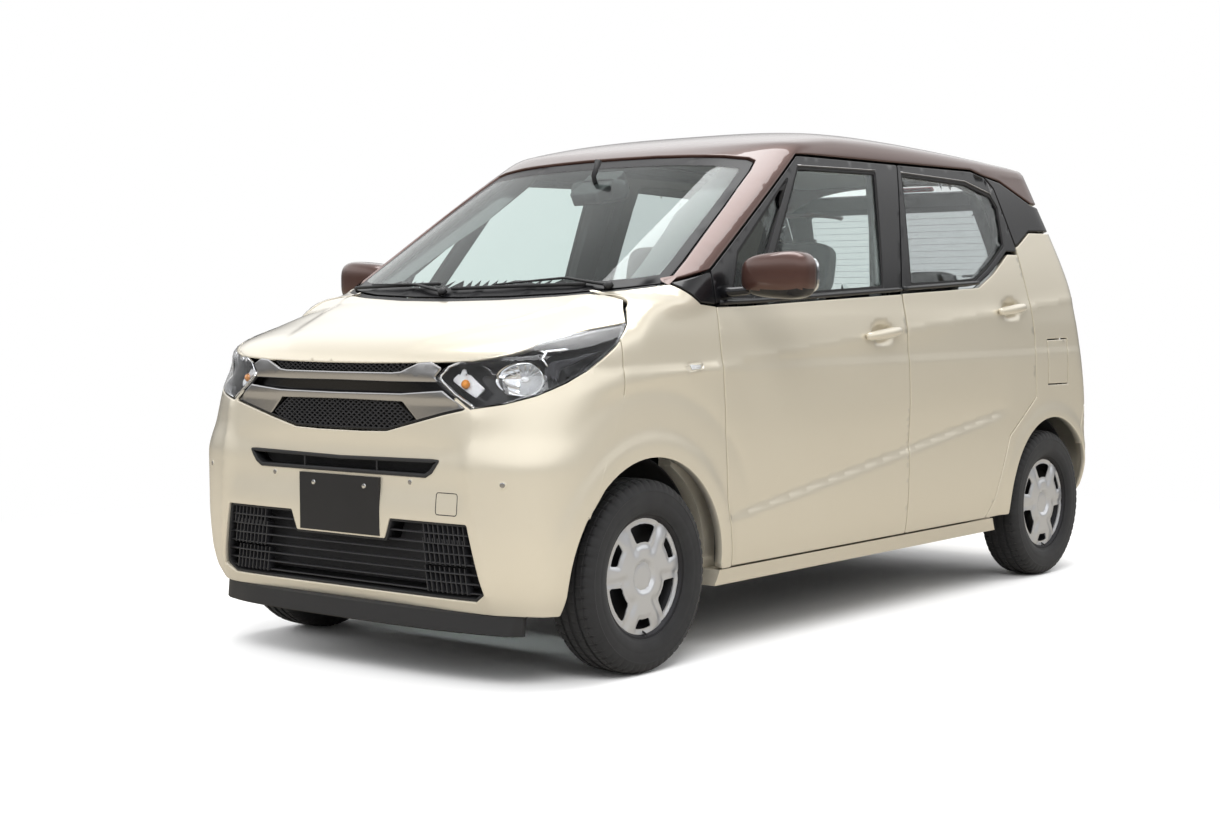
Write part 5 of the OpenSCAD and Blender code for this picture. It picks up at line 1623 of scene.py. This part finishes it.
def build_cabin():
    """Dashboard, steering wheel, cabin mirror, console and floor mats."""
    v, f = puffed((572, 118, 150), 6, (40, 12, 14))
    v[:, 1] += 22 * (v[:, 0] / 572) ** 2
    v[:, 2] += np.where(v[:, 2] > 0, 12 * np.exp(-((v[:, 0] + 335) / 150) ** 2), 0)
    dash = make("dash_top", v + (0, -762, 870), f, "cabin_soft")
    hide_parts("dashboard")
    v, f = puffed((560, 60, 70), 7, (36, 8, 8))
    make("dash_band", v + (0, -690, 862), f, "cabin_light")
    parts = []
    v, f = puffed((165, 60, 46), 4, (20, 10, 10))
    parts.append((v + (-335, -672, 1002), f, 0))
    v, f = puffed((140, 8, 34), 6, (14, 3, 8))
    parts.append((v + (-335, -610, 1000), f, 1))
    v, f = puffed((130, 14, 84), 8, (14, 4, 10))
    parts.append((v + (0, -628, 930), f, 1))
    for x in (-500, -150, 150, 500):
        v, f = puffed((44, 10, 26), 6, (10, 3, 8))
        parts.append((v + (x, -634, 948), f, 1))
    v, f, s = merge(parts)
    make("dash_panels", v, f, ("cabin_soft", "screen_dark"), slots=s)
    centre, axis = np.array([-335.0, -470, 960]), Vector((0, 0.906, 0.423))
    turn = np.array(axis.to_track_quat("X", "Z").to_matrix())
    n, m = 96, 16
    verts, faces = [], []
    for i in range(n):
        a = 2 * math.pi * i / n
        for k in range(m):
            b = 2 * math.pi * k / m
            grip = 14.5 + 1.5 * math.cos(3 * a) ** 8
            r = 172 + grip * math.cos(b)
            verts.append((grip * math.sin(b), r * math.cos(a), r * math.sin(a)))
    for i in range(n):
        for k in range(m):
            j, l = (i + 1) % n, (k + 1) % m
            faces.append((i * m + k, i * m + l, j * m + l, j * m + k))
    parts = [(np.array(verts), faces, 0)]
    hub, hf = puffed((26, 66, 58), 3, (10, 14, 14))
    parts.append((hub - (14, 0, 0), hf, 0))
    for angle in (0, 180, 270):
        a = math.radians(angle)
        line = [((-12 + 10 * t), (50 + 112 * t) * math.cos(a), (50 + 112 * t) * math.sin(a)) for t
            in np.linspace(0, 1, 6)]
        parts.append((*tube(line, [19, 15, 12, 11, 12, 15], 12, 0.5), 1))
    v, f, s = merge(parts)
    wheel = make("steering_rim", v @ turn.T + centre, f, ("cabin_soft", "satin"), "steering_wheel",
        slots=s)
    fix_normals(wheel)
    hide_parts("steering_wheel")
    v, f = puffed((118, 20, 38), 4, (22, 8, 10))
    slots = [1 if np.mean([v[i][1] for i in q]) > 12 else 0 for q in f]
    parts = [(v + (0, -512, 1420), f, slots)]
    parts.append((*tube([(0, -530, 1430), (0, -545, 1470), (0, -520, 1522)], [9, 8, 12], 12), 0))
    v, f, s = merge(parts)
    mirror = make("cabin_mirror_shell", v, f, ("grained_black", "mirror_glass"), slots=s)
    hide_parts("cabin_mirror")


# ---------------------------------------------------------------- CAD nodes kept as they are

def finish_frame():
    """Gives every CAD mesh that is still shown a procedural finish."""
    choice = {"underbody": "underseal", "bulkhead": "underseal", "rear_floor": "carpet",
        "front_wheelhouses": "underseal", "rear_wheelhouses": "underseal", "tailgate_frame":
        "grained_black", "door_seals": "seal_rubber", "radiator_support": "underseal",
        "engine_block": "steel_dark", "fuel_tank": "underseal", "exhaust": "exhaust_steel",
        "front_suspension": "steel_dark", "rear_axle_beam": "steel_dark", "steering_column":
        "cabin_soft", "knuckle_left": "steel_dark", "knuckle_right": "steel_dark", "body_sides":
        "body_shell", "roof": "roof_paint", "rear_quarters": "body_paint", "tailgate":
        "body_paint", }
    for name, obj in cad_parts.items():
        if obj.type == "MESH":
            obj.data.materials.clear()
            obj.data.materials.append(FINISH[choice.get(name, "grained_black")])


def fade_far(material):
    """Floor that is lit near the car, pure white far from it, and darker in reflections."""
    tree = material.node_tree
    rays_seen = add(tree, "ShaderNodeLightPath").outputs
    far = add(tree, "ShaderNodeVectorMath", {0: add(tree, "ShaderNodeTexCoord").outputs["Object"]},
        operation="LENGTH")
    ramp = add(tree, "ShaderNodeMapRange", {"From Min": 1.6, "From Max": 4.2, "Value":
        far.outputs["Value"]}, interpolation_type="SMOOTHSTEP")
    both = add(tree, "ShaderNodeMath", {0: rays_seen["Is Camera Ray"], 1: ramp.outputs["Result"]},
        operation="MULTIPLY")
    dark = add(tree, "ShaderNodeBsdfDiffuse", {"Color": (0.30, 0.27, 0.22, 1)})
    seen = add(tree, "ShaderNodeMixShader", { 0: both.outputs["Value"], 1: node_of(tree,
        "BSDF_PRINCIPLED").outputs["BSDF"], 2: add(tree,
        "ShaderNodeEmission").outputs["Emission"]})
    mirror = add(tree, "ShaderNodeMixShader", { 0: rays_seen["Is Glossy Ray"], 1:
        seen.outputs["Shader"], 2: dark.outputs["BSDF"]})
    tree.links.new(mirror.outputs["Shader"], node_of(tree, "OUTPUT_MATERIAL").inputs["Surface"])


SKY_TONES = ((0.0, 0.40), (0.46, 0.22), (0.515, 0.09), (0.58, 0.36), (0.66, 1.05), (0.76, 1.1),
    (0.86, 0.6), (1.0, 0.35))
CAMERA_TURN = (39.23, 3.11, -0.29)
CAMERA_PLACE = (4.008, -5.375, 1.051)


def build_stage(look):
    """White floor and backdrop, soft boxes, camera and world."""
    white = node_material("studio_white", (look.floor_tone,) * 3, roughness=0.75, vary=0.01,
        rough_vary=0.02)
    fade_far(white)
    mesh = bpy.data.meshes.new("studio_floor")
    mesh.from_pydata([(-60, -60, 0), (60, -60, 0), (60, 60, 0), (-60, 60, 0)], [], [(0, 1, 2, 3)])
    mesh.materials.append(white)
    placed("studio_floor", mesh)
    for name, place, size, power in (("key_box", (3.2, -5.0, 5.2), 4.5, look.key_power),
            ("side_box", (-6.0, -3.0, 3.6), 5.0, look.key_power * 0.45), ("top_box", (0.0, 0.4,
            6.5), 6.0, look.key_power * 0.8), ("rear_box", (2.5, 7.0, 3.6), 5.0, look.key_power *
            0.4)):
        lamp = bpy.data.lights.new(name, "AREA")
        lamp.energy = power
        lamp.shape = "RECTANGLE"
        lamp.size = size
        lamp.size_y = size * 0.6
        obj = placed(name, lamp)
        obj.location = place
        obj.visible_glossy = name == "top_box"
        obj.rotation_euler = (Vector(place) - Vector((0, 0, 0.6))).to_track_quat("Z",
            "Y").to_euler()
    world = bpy.data.worlds.new("studio_world")
    world.use_nodes = True
    tree = world.node_tree
    tree.nodes.clear()
    height = add(tree, "ShaderNodeMapRange", {"From Min": -1, "Value": add( tree,
        "ShaderNodeSeparateXYZ", {0: add(tree,
        "ShaderNodeTexCoord").outputs["Generated"]}).outputs["Z"]})
    ramp = add(tree, "ShaderNodeValToRGB", {"Fac": height.outputs["Result"]})
    for position, tone in SKY_TONES:
        point = (ramp.color_ramp.elements.new(position) if 0 < position < 1 else
            ramp.color_ramp.elements[int(position)])
        point.color = (tone, tone, tone, 1)
    lit = add(tree, "ShaderNodeBackground", {"Color": ramp.outputs["Color"], "Strength":
        look.sky_power})
    seen = add(tree, "ShaderNodeBackground", {"Color": (1, 1, 1, 1)})
    paths = add(tree, "ShaderNodeLightPath").outputs
    through = add(tree, "ShaderNodeMath", {0: paths["Is Camera Ray"], 1:
        paths["Is Transmission Ray"]}, operation="MAXIMUM")
    mix = add(tree, "ShaderNodeMixShader", {0: through.outputs["Value"], 1: lit.outputs[0], 2:
        seen.outputs[0]})
    add(tree, "ShaderNodeOutputWorld", {"Surface": mix.outputs[0]})
    bpy.context.scene.world = world
    camera = bpy.data.cameras.new("camera")
    camera.lens = look.lens
    camera.sensor_width = 36
    camera.clip_end = 100
    obj = placed("camera", camera)
    azimuth, elevation, roll = [math.radians(a) for a in CAMERA_TURN]
    back = Vector((math.sin(azimuth) * math.cos(elevation), -math.cos(azimuth) *
        math.cos(elevation), math.sin(elevation)))
    obj.rotation_euler = (back.to_track_quat("Z", "Y").to_matrix() @ Matrix.Rotation(roll, 3,
        "Z")).to_euler()
    obj.location = CAMERA_PLACE
    bpy.context.scene.camera = obj
    bpy.context.scene.view_settings.view_transform = "Standard"


# ---------------------------------------------------------------- add-on

class KeiCarLook(bpy.types.PropertyGroup):
    """Colours and lighting of the car."""

    body_colour: bpy.props.FloatVectorProperty( name="Body colour",
        description="Colour of the painted panels", subtype="COLOR", size=3, min=0, max=1,
        default=(0.655, 0.60, 0.485))
    roof_colour: bpy.props.FloatVectorProperty( name="Roof colour",
        description="Colour of the roof, pillars and mirror caps", subtype="COLOR", size=3, min=0,
        max=1, default=(0.085, 0.040, 0.031))
    floor_tone: bpy.props.FloatProperty( name="Floor tone",
        description="Brightness of the studio floor", default=0.9, min=0.2, max=1)
    key_power: bpy.props.FloatProperty( name="Key light", description="Power of the main soft box",
        default=350.0, min=0, unit="POWER")
    sky_power: bpy.props.FloatProperty( name="Sky light",
        description="Strength of the even light from all round", default=1.15, min=0)
    lens: bpy.props.FloatProperty( name="Lens",
        description="Focal length of the camera in millimetres", default=55.88, min=10)


class KeiCarSizes(bpy.types.PropertyGroup):
    """Sizes of the parts made only for looks."""

    tread_blocks: bpy.props.IntProperty( name="Tread blocks",
        description="Shoulder blocks round each tyre", default=58, min=20, max=90)
    handle_reach: bpy.props.FloatProperty( name="Handle reach",
        description="How far the door handles stand out", default=0.024, min=0.01, max=0.035,
        unit="LENGTH", subtype="DISTANCE")


def piece_operator(key, label, note, work):
    """An operator class that runs one builder."""

    def execute(self, context):
        work()
        return {"FINISHED"}

    return type(f"KEICAR_OT_{key}", (bpy.types.Operator,), {"bl_idname": f"kei_car.{key}",
        "bl_label": label, "__doc__": note, "execute": execute, "bl_options": {"REGISTER",
        "UNDO"}})


PIECES = (
    ("paints", "Mix finishes", "Makes every procedural finish and finishes the CAD meshes.",
     lambda: (mix_paints(bpy.context.scene.kei_car_look), finish_frame())),
    ("doors", "Build doors", "Builds the four doors with frames, glass, trims and handles.",
     build_doors),
    ("wings", "Build front wings", "Builds the front wings and side repeaters.", build_fenders),
    ("quarters", "Build rear wings", "Builds the rear wings, fuel flap and pillar covers.",
     build_quarters),
    ("bonnet", "Build bonnet", "Builds the bonnet and its lining.", build_bonnet),
    ("roof", "Build roof", "Builds the brown roof, rails and screen pillars.", build_roof),
    ("glass", "Build glass", "Builds the windscreen and the tailgate glass.", build_glass),
    ("front", "Build front end", "Builds the front bumper, intakes, lip and plate.", build_front),
    ("grille", "Build grille", "Builds the upper grille with its mesh and bright parts.",
     build_grille),
    ("lamps", "Build lamps", "Builds the headlamps and tail lamps.", build_lamps),
    ("rear", "Build rear end", "Builds the tailgate, spoiler and rear bumper.", build_rear),
    ("cowl", "Build cowl", "Builds the cowl and the front wipers.", build_cowl),
    ("wheels", "Build wheels", "Builds the tyres, rims, covers and brakes.", build_wheels),
    ("mirrors", "Build mirrors", "Builds the door mirrors.", build_mirrors),
    ("seats", "Build seats", "Builds the front seats and the rear bench.", build_seats),
    ("cabin", "Build cabin", "Builds the dashboard, steering wheel and cabin mirror.",
     build_cabin),
)
CLASSES = (KeiCarLook, KeiCarSizes) + tuple(piece_operator(*row) for row in PIECES)


class KEICAR_OT_stage(bpy.types.Operator):
    """Sets up the floor, lights, world and camera."""

    bl_idname = "kei_car.stage"
    bl_label = "Build studio"

    def execute(self, context):
        build_stage(context.scene.kei_car_look)
        return {"FINISHED"}


class KEICAR_PT_panel(bpy.types.Panel):
    """Sidebar panel with the car's sizes, colours and build steps."""

    bl_label = "Kei Car"
    bl_idname = "KEICAR_PT_panel"
    bl_space_type = "VIEW_3D"
    bl_region_type = "UI"
    bl_category = "Kei Car"

    def draw(self, context):
        column = self.layout.column()
        for group in (context.scene.kei_car_look, context.scene.kei_car_sizes):
            for key in group.bl_rna.properties.keys():
                if key not in ("rna_type", "name"):
                    column.prop(group, key)
        for key, label, _, _ in PIECES:
            column.operator(f"kei_car.{key}", text=label)
        column.operator("kei_car.stage")


def register():
    for item in CLASSES + (KEICAR_OT_stage, KEICAR_PT_panel):
        bpy.utils.register_class(item)
    bpy.types.Scene.kei_car_look = bpy.props.PointerProperty(type=KeiCarLook)
    bpy.types.Scene.kei_car_sizes = bpy.props.PointerProperty(type=KeiCarSizes)


def unregister():
    del bpy.types.Scene.kei_car_look
    del bpy.types.Scene.kei_car_sizes
    for item in reversed(CLASSES + (KEICAR_OT_stage, KEICAR_PT_panel)):
        bpy.utils.unregister_class(item)


def main():
    register()
    for key, *_ in PIECES:
        getattr(bpy.ops.kei_car, key)()
    bpy.ops.kei_car.stage()


if __name__ == "__main__":
    main()
